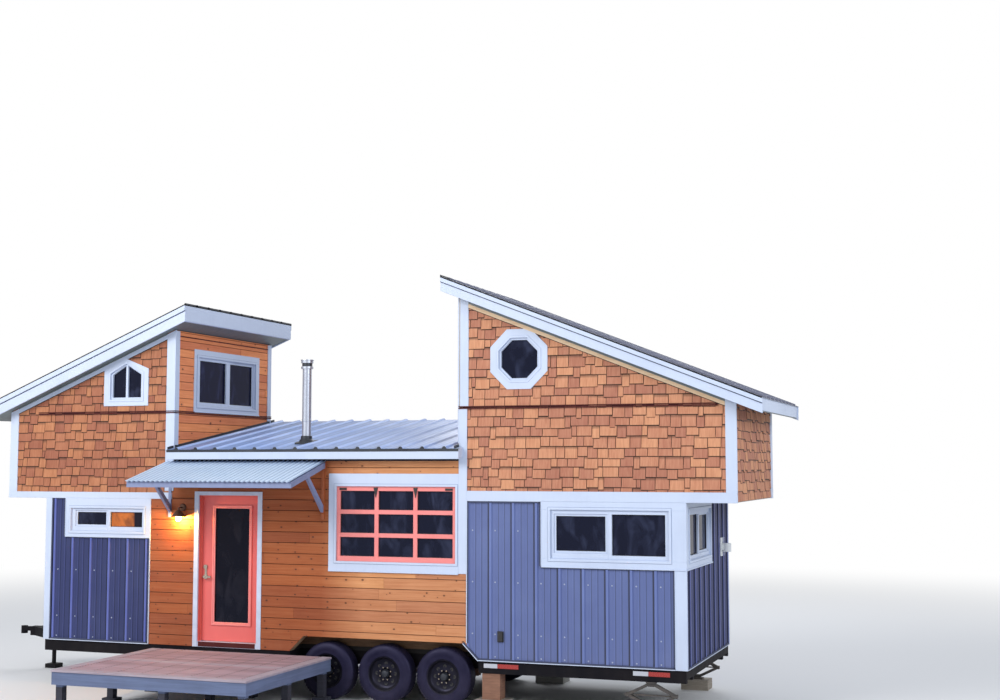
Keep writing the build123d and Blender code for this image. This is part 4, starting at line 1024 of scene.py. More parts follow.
# Steel siding on the lower walls
PANEL = (SILL + 0.004, LOFT_LOW - 0.002)
sided("siding_front_left", FRONT, box(-HALF_LONG + GAP, LEFT_PANEL, *PANEL), -4.106, [box(-4.150, -2.80, 2.050, 2.60)],
      finish=SIDING_IN_SHADE)
sided("siding_front_right", FRONT, box(RIGHT_PANEL, HALF_LONG - GAP, *PANEL), 2.014, [box(2.750, 4.60, 1.800, 2.60), ARCH],
      (0.655, 0.926, 1.555, 2.184))
sided("siding_back", BACK, mirrored(box(-HALF_LONG + GAP, HALF_LONG - GAP, *PANEL)), 0.10, [mirrored(ARCH)],
      (0.68, 1.30, 1.95, 2.45))
planked("boards_middle_back", BACK, [
    mirrored(box(LEFT_IN, RIGHT_IN, LOFT_LOW + 0.02, middle_under(HALF_WIDE) + 0.005)),
], 103)
sided("siding_end_right", facing_right(HALF_LONG), box(-END_WIDE, END_WIDE, *PANEL), -1.16,
      [box(-1.40, 0.155, 1.800, 2.60)], (0.68, 1.20, 1.70), SIDING_IN_SHADE)
sided("siding_end_left", facing_left(-HALF_LONG), box(-END_WIDE, END_WIDE, *PANEL), -1.16, (), (0.68, 1.30, 1.95))


# White trim boards; the head and the ledge are where the casings of the lower windows end
HEAD, LEDGE, LEFT_LEDGE = 2.545, 1.765, 2.015


def trim_boards(name, plane, outlines, thick=()):
    shapes = [plate(outline, 0.0, TRIM) for outline in outlines]
    shapes += [plate(outline, 0.0, TRIM + 0.004) for outline in thick]
    settle(shapes, name, WHITE, "white_trim", plane, ease=0.0025)


def corner_boards(name, plane, *boards):
    # each board is its side, its width, its foot and its top
    outlines = []
    for side, wide, low, top in boards:
        a, b = sorted((side * HALF_WIDE, side * (HALF_WIDE - wide)))
        outlines.append(box(a, b, low, top))
    trim_boards(name, plane, outlines)


def loft_trims(name, plane, corner_low, right, low_top):
    # boards that front and back share, beside those of the right loft's inner corner
    return (name, plane, [
        loft_outline(LEFT_OUT - TRIM, -5.010, LOFT_LOW, left_under, 0.0),
        loft_outline(-2.605, LEFT_IN + TRIM, corner_low, left_under, 0.0),
        loft_outline(4.978, RIGHT_OUT + TRIM, 2.632, right_under, 0.0), *right,
        box(-HALF_LONG - TRIM, -4.410, SILL - 0.002, HEAD), box(4.362, HALF_LONG + TRIM, SILL - 0.002, low_top)])


def bands(right_start):
    return [box(LEFT_OUT - TRIM, LEFT_IN, 2.532, 2.618), box(right_start, RIGHT_OUT + TRIM, HEAD, 2.668)]


trim_boards(*loft_trims("trim_boards_front", FRONT, 2.640, [
    loft_outline(RIGHT_IN, 1.750, 1.645, lambda x: SEAM - 0.01, 0.0),
    loft_outline(1.655, 1.768, SEAM + 0.01, right_under, 0.0)], LEDGE), bands(1.750))
name, plane, outlines = loft_trims("trim_boards_back", BACK, 2.632, [
    loft_outline(RIGHT_IN - TRIM, 1.750, 2.632, right_under, 0.0)], HEAD)
trim_boards(name, plane, [mirrored(outline) for outline in outlines],
            [mirrored(outline) for outline in bands(RIGHT_IN)])

def on_roof(y):
    return middle_top(y) + 0.002


FOOT = SILL - 0.002
corner_boards("trim_left_loft_end", facing_left(LEFT_OUT),
              (-1, 0.105, LOFT_LOW, LEFT_END_TOP), (1, 0.105, LOFT_LOW, LEFT_END_TOP))
corner_boards("trim_right_loft_end", facing_right(RIGHT_OUT),
              (-1, 0.012, LOFT_LOW, RIGHT_END_TOP), (1, 0.105, LOFT_LOW, RIGHT_END_TOP))
corner_boards("trim_lower_right_end", facing_right(HALF_LONG), (-1, 0.012, FOOT, LEDGE), (1, 0.012, FOOT, HEAD))
corner_boards("trim_lower_left_end", facing_left(-HALF_LONG), (-1, 0.080, FOOT, HEAD), (1, 0.080, FOOT, HEAD))
corner_boards("trim_left_loft_inner", facing_right(LEFT_IN),
              (-1, 0.085, on_roof(-HALF_WIDE + 0.085), left_under(LEFT_IN)),
              (1, 0.085, on_roof(HALF_WIDE), left_under(LEFT_IN)))
corner_boards("trim_right_loft_inner", facing_left(RIGHT_IN), (-1, 0.100, on_roof(HALF_WIDE), right_under(RIGHT_IN)),
              (1, 0.100, on_roof(-HALF_WIDE + 0.100), right_under(RIGHT_IN)))

# Dark red flashing where the loft walls join the lower storey
SEAM_OUT = TRIM + 0.0065


def seam_strips(*runs):
    return [plate(box(u0, u1, SEAM + low, SEAM + high), 0.004, SEAM_OUT)
            for u0, u1 in runs for low, high in ((-0.017, -0.003), (0.006, 0.018))]


settle(seam_strips((LEFT_OUT + 0.45, LEFT_IN + SEAM_OUT), (RIGHT_IN - 0.004, RIGHT_OUT - 0.20)), "seam_front", RED_SEAM,
       "cedar_shingle", FRONT)
settle(seam_strips((-LEFT_IN - SEAM_OUT, -LEFT_OUT - 0.45), (-RIGHT_OUT + 0.20, -RIGHT_IN + 0.004)),
       "seam_back", RED_SEAM, "cedar_shingle", BACK)
settle(seam_strips((-HALF_WIDE - SEAM_OUT, HALF_WIDE + SEAM_OUT)) + [
    plate(box(-HALF_WIDE + 0.085, HALF_WIDE - 0.085, 4.724, 4.738), 0.004, SEAM_OUT - 0.008)],
    "seam_left_loft_inner", RED_SEAM, "cedar_board", facing_right(LEFT_IN))


# Pale edge trims round the steel panels, each with a painted shadow line on the panel's side
def edge_trims(name, plane, runs):
    for tone, finish, slot, low, high, thick in (("pale", WHITE, "white_trim", -0.008, 0.002, 0.0245),
                                                 ("dark", SHADOW_LINE, "siding_metal", 0.002, 0.022, 0.0225)):
        shapes = []
        for start, end, inward in runs:
            first, last, away = Vector(start), Vector(end), Vector(inward).normalized()
            corners = (first + away * low, last + away * low, last + away * high, first + away * high)
            shapes.append(plate(corners, 0.0, thick))
        settle(shapes, f"{name}_{tone}", finish, slot, plane)


edge_trims("panel_edges_front", FRONT, [
    ((LEFT_PANEL, 0.600), (LEFT_PANEL, LEFT_LEDGE), (-1, 0)), ((-4.410, PANEL_FOOT), (-2.832, PANEL_FOOT), (0, 1)),
    ((-4.410, 0.616), (-4.410, HEAD), (1, 0)), ((-4.184, LEFT_LEDGE), (-2.832, LEFT_LEDGE), (0, -1)),
    ((-4.184, LEFT_LEDGE), (-4.184, HEAD), (-1, 0)), ((-4.400, HEAD), (-4.194, HEAD), (0, -1)),
    ((RIGHT_PANEL, 0.806), (RIGHT_PANEL, HEAD), (1, 0)), ((1.762, HEAD), (2.704, HEAD), (0, -1)),
    ((2.714, LEDGE), (2.714, HEAD), (-1, 0)), ((2.714, LEDGE), (4.352, LEDGE), (0, -1)),
    ((4.362, 0.616), (4.362, LEDGE), (-1, 0)), ((1.900, PANEL_FOOT), (4.362, PANEL_FOOT), (0, 1)),
    ((1.900, 0.600), (1.700, 0.800), (1, 1)),
])
edge_trims("panel_edges_end_right", facing_right(HALF_LONG), [((-1.250, PANEL_FOOT), (1.250, PANEL_FOOT), (0, 1))])
edge_trims("panel_edges_end_left", facing_left(-HALF_LONG), [((-1.215, PANEL_FOOT), (1.215, PANEL_FOOT), (0, 1))])
edge_trims("panel_edges_back", BACK,
           [((-4.410, PANEL_FOOT), (-1.900, PANEL_FOOT), (0, 1)), ((0.700, PANEL_FOOT), (4.410, PANEL_FOOT), (0, 1))])


# Windows with casing boards, sash, bars, glass and sill, drawn from their opening: left, right, low and high
GLASS_DEPTH = (-0.036, -0.030)


def inset(hole, amount):
    return (hole[0] + amount, hole[1] - amount, hole[2] + amount, hole[3] - amount)


def hole_ring(hole, outer, inner, low, high):
    return ring(box(*inset(hole, outer)), box(*inset(hole, inner)), low, high)


def slider_sash(hole, lites):
    # each lite is its glass edges, whether it slides in a frame of its own, and its glass
    inner = inset(hole, 0.010)
    edges = [inner[0]] + [(a[0][1] + b[0][0]) / 2 for a, b in zip(lites, lites[1:])] + [inner[1]]
    shapes = []
    for (glass, slides, finish), left, right in zip(lites, edges, edges[1:]):
        frame_in = inset(glass, -0.026) if slides else glass
        shapes.append(ring(box(left, right, inner[2], inner[3]), box(*frame_in), -0.060, 0.002))
        if slides:
            shapes.append(ring(box(*frame_in), box(*glass), -0.054, -0.012))
    return shapes, [(glass, finish) for glass, slides, finish in lites]


def barred_sash(hole, columns, rows, bar, margins):
    # a fixed grid: margins are left, right, below and above
    left, right, below, above = margins
    u0, u1, v0, v1 = hole[0] + left, hole[1] - right, hole[2] + below, hole[3] - above
    shapes = [ring(box(*hole), box(u0, u1, v0, v1), -0.060, 0.002)]
    wide, high = (u1 - u0 + bar) / columns, (v1 - v0 + bar) / rows
    shapes += [plate(box(u0 + k * wide - bar, u0 + k * wide, v0 - 0.01, v1 + 0.01), -0.058, -0.002)
               for k in range(1, columns)]
    shapes += [plate(box(u0 - 0.01, u1 + 0.01, v0 + k * high - bar, v0 + k * high), -0.058, -0.003)
               for k in range(1, rows)]
    return shapes, [((u0 + i * wide, u0 + (i + 1) * wide - bar, v0 + j * high, v0 + (j + 1) * high - bar), GLASS)
                    for j in range(rows) for i in range(columns)]


def window(name, plane, hole, case, made, paint=None, slot="white_trim"):
    sash, panes = made
    c0, c1, d0, d1 = case
    u0, u1, v0, v1 = hole
    settle([plate(box(c0, c1, v1, d1), 0.0, TRIM), plate(box(c0, c1, d0, v0), 0.0, TRIM),
            plate(box(c0, u0, v0, v1), 0.0, TRIM - 0.001), plate(box(u1, c1, v0, v1), 0.0, TRIM - 0.001),
            plate(box(c0 + GAP, c1 - GAP, d0 - 0.012, d0 + 0.004), 0.0, TRIM + 0.012)],
           f"{name}_casing", WHITE, "white_trim", plane, stands_for=[name], ease=0.002)
    liner = [] if paint else [hole_ring(hole, 0.0, 0.010, -0.085, 0.012)]
    liner.append(hole_ring(hole, -0.026, 0.002, 0.018, TRIM + 0.008))
    settle(liner, f"{name}_liner", WHITE, "white_trim", plane, ease=0.0015)
    # a soft painted shadow in the groove between casing and liner
    settle([hole_ring(hole, -0.032, -0.026, 0.010, TRIM + 0.001)], f"{name}_joint_line",
           CASING_SHADOW, "white_trim", plane)
    settle(sash, f"{name}_sash", paint or WHITE, slot, plane, ease=0.0025)
    for number, (cell, finish) in enumerate(panes, start=1):
        settle([plate(box(*inset(cell, -0.004)), *GLASS_DEPTH)], f"{name}_pane_{number}", finish, "pane", plane)
    settle([hole_ring(cell, -0.002, 0.006, -0.031, -0.022) for cell, finish in panes], f"{name}_gaskets", BLACK_PLASTIC,
           "white_trim", plane)


def sliding_window(name, plane, hole, case, *lites):
    window(name, plane, hole, case, slider_sash(hole, lites))


sliding_window("window_left", FRONT, (-4.095, -2.925, 2.080, 2.400), (-4.184, -2.815, LEFT_LEDGE, HEAD),
               ((-4.007, -3.544, 2.172, 2.342), True, GLASS), ((-3.471, -2.961, 2.147, 2.348), False, GLASS_WARM))
sliding_window("window_right", FRONT, (2.830, 4.300, 1.855, 2.450), (2.714, HALF_LONG + TRIM, LEDGE, HEAD),
               ((2.898, 3.515, 1.955, 2.372), True, GLASS), ((3.597, 4.249, 1.911, 2.398), False, GLASS))
sliding_window("window_end", facing_right(HALF_LONG), (-1.150, 0.120, 1.855, 2.450), (-HALF_WIDE, 0.190, LEDGE, HEAD),
               ((-1.093, -0.550, 1.912, 2.393), False, GLASS_LOFT), ((-0.480, 0.040, 1.940, 2.370), True, GLASS_LOFT))
sliding_window("window_loft", facing_right(LEFT_IN), (-0.745, 0.845, 3.800, 4.480), (-0.840, 0.950, 3.722, 4.585),
               ((-0.668, 0.037, 3.855, 4.436), False, GLASS_LOFT), ((0.161, 0.789, 3.852, 4.436), True, GLASS_LOFT))
MID = (-0.045, 1.600, 1.765, 2.718)
window("window_middle", FRONT, MID, (-0.151, 1.640, 1.645, 2.878),
       barred_sash(MID, 3, 3, 0.054, (0.048, 0.046, 0.066, 0.060)), CORAL_PALE, "coral_paint")

# Latches on the top rail of the middle window
THIRD = (MID[1] - MID[0]) / 3
settle([plate(box(u - 0.050, u + 0.050, 2.668, 2.694), 0.001, 0.012) for u in (0.045, 1.505)] + [
    plate([(u - 0.030, 2.701), (u - 0.009, 2.610), (u, 2.570), (u + 0.009, 2.610), (u + 0.030, 2.701)], 0.001, 0.010)
    for u in (MID[0] + THIRD, MID[0] + 2 * THIRD)],
       "window_middle_latches", BLACK_PLASTIC, "coral_paint", FRONT, ease=0.0015)


def shaped_window(name, hole, middle, outer, inner, bars=()):
    for part, shapes, options in (("casing", [ring(outer, middle, 0.0, TRIM)], {"stands_for": [name]}),
                                  ("liner", [ring(middle, hole, -0.080, TRIM + 0.006)], {}),
                                  ("sash", [ring(hole, inner, -0.060, 0.002), *bars], {})):
        settle(shapes, f"{name}_{part}", WHITE, "white_trim", FRONT, ease=0.002, **options)
    settle([plate(hole, *GLASS_DEPTH)], f"{name}_pane", GLASS, "pane", FRONT)


shaped_window("window_octagon", *(octagon(flat) for flat in (0.262, 0.290, 0.372, 0.236)))
shaped_window("window_pentagon", pentagon(-0.010, -0.010), pentagon(0.020, 0.020), pentagon(0.092, 0.080),
              pentagon(-0.036, -0.036), [plate(box(-3.2635, -3.2315, 3.880, 4.358), -0.055, 0.000)])


# Roof slabs with soffits, fascia boards and dark metal edges
def sloped(x0, x1, top, low, high, y0, y1):
    # a strip of the slope between two depths under the top of the ribs
    points = [(x0, y0, top(x0) - high), (x1, y0, top(x1) - high), (x1, y0, top(x1) - low), (x0, y0, top(x0) - low)]
    return solid(points, (0, y1 - y0, 0))


def roof(name, x_eave, x_peak, top, slab, edge):
    x0, x1 = sorted((x_eave, x_peak))

    def front_and_back(low, high, inner, outer):
        # two strips under the ribs, by their distances in from the sides of the roof
        sides = (sorted((sign * (ROOF_SIDE - inner), sign * (ROOF_SIDE - outer))) for sign in (-1, 1))
        return [sloped(x0, x1, top, RIBS + low, RIBS + high, *side) for side in sides]

    inner = ROOF_SIDE - 0.036
    settle([sloped(x0 + 0.030, x1 - 0.030, top, RIBS + 0.001, RIBS + slab - 0.012, -inner, inner)],
           f"{name}_soffit", SOFFIT, "roof_board", stands_for=[name])
    boards = front_and_back(0.0005, slab, 0.037, 0.016)
    for x_end, back, deep in ((x_eave, 0.016, 0.85), (x_peak, 0.0, 1.0)):
        inward = 1 if x_end == x0 else -1
        a, b = sorted((x_end + inward * back, x_end + inward * (back + 0.021)))
        boards.append(sloped(a, b, top, RIBS + 0.0005, RIBS + slab * deep, 0.040 - ROOF_SIDE, ROOF_SIDE - 0.040))
    settle(boards, f"{name}_fascia", WHITE, "roof_board", ease=0.0025)
    settle(front_and_back(0.002, slab * 0.34, 0.0155, 0.0), f"{name}_fascia_strip", WHITE, "roof_board", ease=0.002)
    # a painted shadow line under the fascia strip
    settle(front_and_back(slab * 0.33, slab * 0.34 + 0.010, 0.017, 0.011), f"{name}_fascia_line",
           SHADOW_LINE, "roof_board")
    settle(front_and_back(-0.0065, -0.0045, 0.060, 0.0) + front_and_back(-0.0065, edge, 0.0015, 0.0),
           f"{name}_edge_metal", DARK_METAL, "roof_sheet")


roof("roof_left", LEFT_EAVE, LEFT_PEAK, left_top, LEFT_SLAB, 0.010)
roof("roof_right", RIGHT_EAVE, RIGHT_PEAK, right_top, RIGHT_SLAB, 0.012)

# Dark closure along the high edge of each loft roof
settle([block(x, x + 0.002, -ROOF_SIDE, ROOF_SIDE, height - RIBS - 0.012, height - 0.004)
        for x, height in ((LEFT_PEAK - 0.002, left_top(LEFT_PEAK)), (RIGHT_PEAK, right_top(RIGHT_PEAK)))],
       "roof_high_edges", DARK_METAL, "roof_sheet")


# Frieze boards that close the wall under each soffit, with a painted shadow line below and a strip of shaded soffit
# paint above
def frieze(x0, x1, under, low, high, out):
    corners = ((x0, low), (x1, low), (x1, high), (x0, high))
    return [solid([(x, -HALF_WIDE * sign, under(x) - down) for x, down in corners], (0, -out * sign, 0))
            for sign in (1, -1)]


below, above = [], []
for name, finish, x0, x1, under, top, deep in (("left", WHITE, -5.010, -2.605, left_under, 0.008, 0.066),
                                               ("right", FRIEZE, 1.768, 4.978, right_under, 0.034, 0.082)):
    settle(frieze(x0, x1, under, deep, top, 0.023), f"frieze_{name}", finish, "white_trim")
    below += frieze(x0, x1, under, deep + 0.008, deep, 0.020)
    above += frieze(x0, x1, under, top, -0.010, 0.022)
settle(below, "frieze_lines", UNDER_EDGE, "white_trim")
settle(above, "frieze_upper_lines", SOFFIT, "white_trim")

# Middle roof: fascia, drip edge, side flashings and the ends of the ribs
EDGE_LOW, EDGE_HIGH = middle_under(-MID_FRONT) - 0.004, middle_top(-MID_FRONT) - RIBS - 0.006
FASCIA = (LEFT_IN, 1.695)
settle([block(*FASCIA, -MID_FRONT - 0.016, -MID_FRONT, EDGE_LOW, EDGE_HIGH)], "roof_middle_fascia", WHITE, "roof_board",
       ease=0.0025)
flashing = [(y, middle_top(y) + rise) for y, rise in ((-1.445, -0.03), (1.445, -0.03), (1.445, 0.010), (-1.445, 0.010))]
settle([block(*FASCIA, -MID_FRONT - 0.019, -MID_FRONT + 0.03, EDGE_HIGH + 0.001, EDGE_HIGH + 0.006),
        block(*FASCIA, -MID_FRONT - 0.019, -MID_FRONT - 0.0165, EDGE_HIGH - 0.028, EDGE_HIGH + 0.001)]
       + [solid([(x, y, z) for y, z in flashing], (0.014, 0, 0)) for x in (LEFT_IN, RIGHT_IN - 0.014)],
       "roof_middle_edge_metal", DARK_METAL, "roof_sheet")
# Dark plates on the open ends of the ribs: painted shade inside the hollow ribs
RIB_CREST = middle_top(-MID_FRONT) + 0.002
RIB_END = ((-0.036, EDGE_HIGH), (0.036, EDGE_HIGH), (0.015, RIB_CREST), (-0.015, RIB_CREST))
settle([solid([(FIRST_RIB + k * PITCH + u, -MID_FRONT - 0.004, z) for u, z in RIB_END], (0, 0.003, 0))
        for k in range(14)], "roof_middle_rib_ends", DARK_METAL, "roof_sheet")
# A painted shadow strip on the wall just under the middle roof's eave
eave = middle_under(-HALF_WIDE)
settle([plate(box(LEFT_IN + 0.002, RIGHT_IN - 0.002, eave - 0.052, eave), 0.0, 0.016)],
       "roof_middle_under_edge", UNDER_EDGE, "cedar_board", FRONT)

# Wavy awning sheet, grown flat and tilted to its slope
REACH, DROP = 0.995, 0.263
sheet = to_work(grow(wavy_tree(), {"Width": AWNING_WIDE, "Run": math.hypot(REACH, DROP), "Wave Pitch": WAVE,
                                   "Wave Height": 0.016, "Finish": ZINC}))
bmesh.ops.solidify(sheet, geom=sheet.verts[:] + sheet.edges[:] + sheet.faces[:], thickness=0.0016)
middle = (AWNING_MIDDLE, -HALF_WIDE - REACH / 2, AWNING_TOP - AWNING_FALL * REACH / 2 - 0.0145)
bmesh.ops.transform(sheet, matrix=Matrix.Translation(middle) @ Matrix.Rotation(math.atan2(DROP, REACH), 4, "X"),
                    verts=sheet.verts[:])
settle(sheet, "awning_wavy_sheet", ZINC, "zinc_sheet", stands_for=["awning_sheet"], smooth=0.9)

# Deck boards: a border round two fields of narrower boards
DECK_LEFT, DECK_RIGHT, DECK_FRONT, DECK_BACK = -2.762, -0.098, -3.432, -1.295
DECK_LOW, DECK_TOP = 0.525, 0.550
BORDER, MITRE_GAP = 0.140, 0.0015


def deck_field(name, y0, y1, count, seed):
    wide = (y1 - y0) / count
    board = build([block(DECK_LEFT + BORDER + 0.003, DECK_RIGHT - BORDER - 0.003, 0.0025, wide - 0.0025, DECK_LOW,
                         DECK_TOP - 0.001)])
    round_over(board, 0.003)
    mesh = grow(ROWS, {"Count": count, "Step": (0.0, wide, 0.0), "Rows": 1, "Start": (0.0, y0, 0.0), "Seed": seed,
                       "Piece": pattern(f"{name} shape", board), "Finish": DECKING})
    settle(mesh, name, DECKING, "deck_board")


def border_board(*corners):
    return solid([(x, y, DECK_LOW) for x, y in corners], (0, 0, DECK_TOP - DECK_LOW))


def side_board(outside, inside):
    return border_board((outside, DECK_FRONT + MITRE_GAP), (inside, DECK_FRONT + BORDER + MITRE_GAP),
                        (inside, DECK_BACK), (outside, DECK_BACK))


deck_field("deck_boards_front", DECK_FRONT + BORDER, -2.430, 8, 3)
deck_field("deck_boards_back", -2.290, DECK_BACK, 9, 4)
inner_left, inner_right = DECK_LEFT + BORDER, DECK_RIGHT - BORDER
settle([border_board((DECK_LEFT, DECK_FRONT), (DECK_RIGHT, DECK_FRONT), (inner_right, DECK_FRONT + BORDER),
                     (inner_left, DECK_FRONT + BORDER)),
        side_board(DECK_LEFT, inner_left), side_board(DECK_RIGHT, inner_right),
        block(inner_left + 0.002, inner_right - 0.002, -2.428, -2.292, DECK_LOW, DECK_TOP)],
       "deck_border", DECK_EDGE, "deck_board", stands_for=["deck_boards"], ease=0.003)
heads = grow(ROWS, {"Count": 8, "Step": (0.334, 0.0, 0.0), "Rows": 36, "Row Step": (0.0, 0.0556, 0.0),
                    "Start": (-2.58, -3.27, DECK_TOP - 0.002), "Seed": 2, "Piece": SCREW_SHAPE, "Finish": DARK_METAL})
settle(heads, "deck_screws", DARK_METAL, "deck_board")


# Wheels: tyre with grooves and sidewall steps, dished rim, nuts and cap
def tyre_profile():
    grooves = []
    for middle in (-0.062, -0.021, 0.021, 0.062):
        grooves += [(WHEEL_R, middle - 0.006), (WHEEL_R - 0.009, middle - 0.004), (WHEEL_R - 0.009, middle + 0.004),
                    (WHEEL_R, middle + 0.006)]
    inner = [(0.214, -0.100), (0.224, -0.1115), (0.240, -0.1125), (0.262, -0.1105), (0.270, -0.1122), (0.300, -0.1110),
             (0.325, -0.105), (0.345, -0.096), (0.358, -0.085), (0.3635, -0.074)]
    outer = [(r, -h) for r, h in reversed(inner)]
    return inner + grooves + outer + [(0.205, 0.090), (0.205, -0.090), (0.214, -0.100)]


RIM_PROFILE = [
    (0.208, -0.098), (0.222, -0.104), (0.222, -0.106), (0.196, -0.104), (0.186, -0.060), (0.150, -0.052),
    (0.150, -0.074), (0.033, -0.074), (0.033, 0.020), (0.060, 0.044), (0.078, 0.047), (0.090, 0.044), (0.150, 0.036),
    (0.176, 0.046), (0.190, 0.058), (0.199, 0.086), (0.206, 0.103), (0.222, 0.106), (0.222, 0.103), (0.209, 0.092),
    (0.204, 0.060), (0.204, -0.060), (0.208, -0.098)]
CAP_PROFILE = [(0, 0.020), (0.052, 0.020), (0.052, 0.070), (0.047, 0.080), (0.038, 0.092), (0.020, 0.097), (0, 0.098)]
NUT_SHAPE = pattern("wheel nut shape", build([turned(
    [(0, 0), (0.012, 0), (0.012, 0.014), (0.009, 0.021), (0, 0.022)], sides=6)]))
HOLE_SHAPE = pattern("rim hole shape", build([turned(
    [(0, 0), (0.020, 0), (0.023, 0.002), (0.020, 0.004), (0, 0.001)], sides=16)]))
LUG_SHAPE = pattern("tread lug shape", build([block(-0.004, 0.004, -0.0085, 0.0085, -0.030, 0.030)]))
LUG_LENGTH, LUG_SIDE = 0.28, 0.079


def closed_round(profile, sides):
    work = build([turned(profile, sides=sides)])
    bmesh.ops.remove_doubles(work, verts=work.verts[:], dist=1e-5)
    return work


def wheel(name, x, side):
    # drawn with its axle along Z and its outer face upwards, then laid on its side
    middle = Matrix.Translation((x, side * (1.255 - 0.1125), WHEEL_R))
    plane = HOUSE @ middle @ Matrix.Rotation(math.radians(-90 * side), 4, "X")

    def piece(part, shapes, finish, **more):
        settle(shapes, f"{name}_{part}", finish, "tyre", plane, body=name, **more)

    piece("tyre", closed_round(tyre_profile(), 56), RUBBER, stands_for=[name], smooth=0.55)
    piece("rim", closed_round(RIM_PROFILE, 48), RIM, smooth=0.6)
    piece("cap", [turned(CAP_PROFILE)], DARK_METAL, smooth=0.6)
    piece("nuts", grow_ring(8, 0.078, 0.39, NUT_SHAPE, NICKEL, 0.046), NICKEL)
    piece("rim_holes", grow_ring(8, 0.128, 0.0, HOLE_SHAPE, BLACK_PLASTIC, 0.0372), BLACK_PLASTIC)
    lugs = grow_ring(54, WHEEL_R - 0.0062, 0.0, LUG_SHAPE, RUBBER, 0.0)
    pair = bmesh.new()
    for shift in (-LUG_SIDE, LUG_SIDE):
        copy = lugs.copy()
        copy.transform(Matrix.Translation((0, 0, shift)) @ Matrix.Diagonal((1, 1, LUG_LENGTH, 1)))
        pair.from_mesh(copy)
    piece("tread_lugs", pair, RUBBER)


for number, x in enumerate(WHEEL_X, start=1):
    wheel(f"wheel_front_{number}", x, -1)
    wheel(f"wheel_back_{number}", x, 1)

# Marker plates on the side rail
for tone, finish, runs in (("white", REFLECT_WHITE, ((1.970, 2.146), (3.846, 4.030))),
                           ("red", REFLECT_RED, ((2.148, 2.417), (4.032, 4.290)))):
    settle([plate(box(u0, u1, 0.516, 0.568), 0.0, 0.006) for u0, u1 in runs], f"marker_plates_{tone}",
           finish, "frame_steel", FRONT, ease=0.001)

# Stove pipe with seams, storm collar, boot and cap
PIPE = (-0.683, -0.927, 0)
foot = middle_top(PIPE[1])
settle([turned([(0, foot - 0.05), (0.060, foot - 0.05), (0.060, 3.560), (0.063, 3.564), (0.063, 3.590), (0.060, 3.594),
                (0.060, 4.268), (0, 4.268)], PIPE, 40)],
       "stove_pipe_tube", STEEL_PIPE, "pipe_steel", stands_for=["stove_pipe"], smooth=0.6)
settle([turned([(0, 4.262), (0.080, 4.262), (0.080, 4.292), (0.072, 4.296), (0, 4.296)], PIPE, 40),
        turned([(0, 4.338), (0.080, 4.338), (0.081, 4.374), (0.088, 4.376), (0.087, 4.384), (0.030, 4.390), (0, 4.390)],
               PIPE, 40)], "stove_pipe_cap", STEEL_PIPE, "pipe_steel", smooth=0.6)
base = [(PIPE[0] - 0.115, PIPE[1] + d, middle_top(PIPE[1] + d) + h - RIBS)
        for d, h in ((-0.115, 0.005), (0.115, 0.005), (0.115, 0.029), (-0.115, 0.029))]
settle([turned([(0, 4.290), (0.068, 4.290), (0.068, 4.340), (0, 4.340)], PIPE),
        turned([(0.0605, foot + 0.075), (0.073, foot + 0.072), (0.076, foot + 0.034), (0.088, foot + 0.022),
                (0.108, foot - 0.012), (0.0605, foot - 0.012), (0.0605, foot + 0.075)], PIPE, 40),
        solid(base, (0.23, 0, 0))], "stove_pipe_boot", DARK_METAL, "pipe_steel", smooth=0.6)

# Wall lamp with a lit bulb under a dark shade, on an arm from its back plate
LAMP = (-2.316, -1.415, 2.400)
ARM_FOOT, ARM_HEIGHT, ARM_RADIUS = -HALF_WIDE - 0.010, LAMP[2] + 0.020, 0.008
arm = [(LAMP[0] + ARM_RADIUS * math.cos(turn), ARM_FOOT, ARM_HEIGHT + ARM_RADIUS * math.sin(turn))
       for turn in (math.tau * k / 16 for k in range(16))]
settle([turned([(0, 0.029), (0.012, 0.029), (0.014, -0.008), (0.032, -0.014), (0.046, -0.034), (0.100, -0.094),
                (0.101, -0.098), (0.096, -0.098), (0.042, -0.038), (0.030, -0.020), (0, -0.019)], LAMP, 40),
        turned([(0, 0), (0.052, 0), (0.052, 0.008), (0.044, 0.018), (0, 0.018)],
               (LAMP[0], -HALF_WIDE - 0.0185, ARM_HEIGHT), lying=True),
        solid(arm, (0, LAMP[1] - ARM_FOOT, 0)),
        turned([(0, -0.018), (0.022, -0.018), (0.022, -0.088), (0, -0.088)], LAMP, 24)],
       "wall_lamp_shade", BRONZE, "lamp_metal", stands_for=["wall_lamp"], smooth=0.6)
settle([turned([(0, -0.089), (0.020, -0.090), (0.033, -0.104), (0.038, -0.120), (0.033, -0.138), (0.018, -0.152),
                (0, -0.156)], LAMP, 24)], "wall_lamp_bulb", BULB, "lamp_metal", smooth=1.2)

# Outlet cover on the right hand siding and dark threshold under the door
settle([plate(box(2.158, 2.222, 0.845, 0.955), 0.020, 0.040), plate(box(2.150, 2.230, 0.835, 0.965), 0.003, 0.022)],
       "outlet_cover", BLACK_PLASTIC, "siding_metal", FRONT, ease=0.003)
settle([plate(box(DOOR[0] + 0.004, DOOR[1] - 0.004, 0.604, 0.6665), 0.012, 0.0175)], "door_threshold", RED_SEAM,
       "white_trim", FRONT, ease=0.001)

# Raised moulding round the light of the door
LIGHT, DOOR_FACE = (-1.866, -1.344, 0.915, 2.418), -1.224
settle([hole_ring(LIGHT, -0.034, -0.014, 0.0, 0.017), hole_ring(LIGHT, -0.012, 0.006, -0.006, 0.013)], "door_moulding",
       CORAL_PALE, "coral_paint", wall_plane((1, 0, 0), (0, -1, 0), (0, DOOR_FACE, 0)), body="door", ease=0.003)

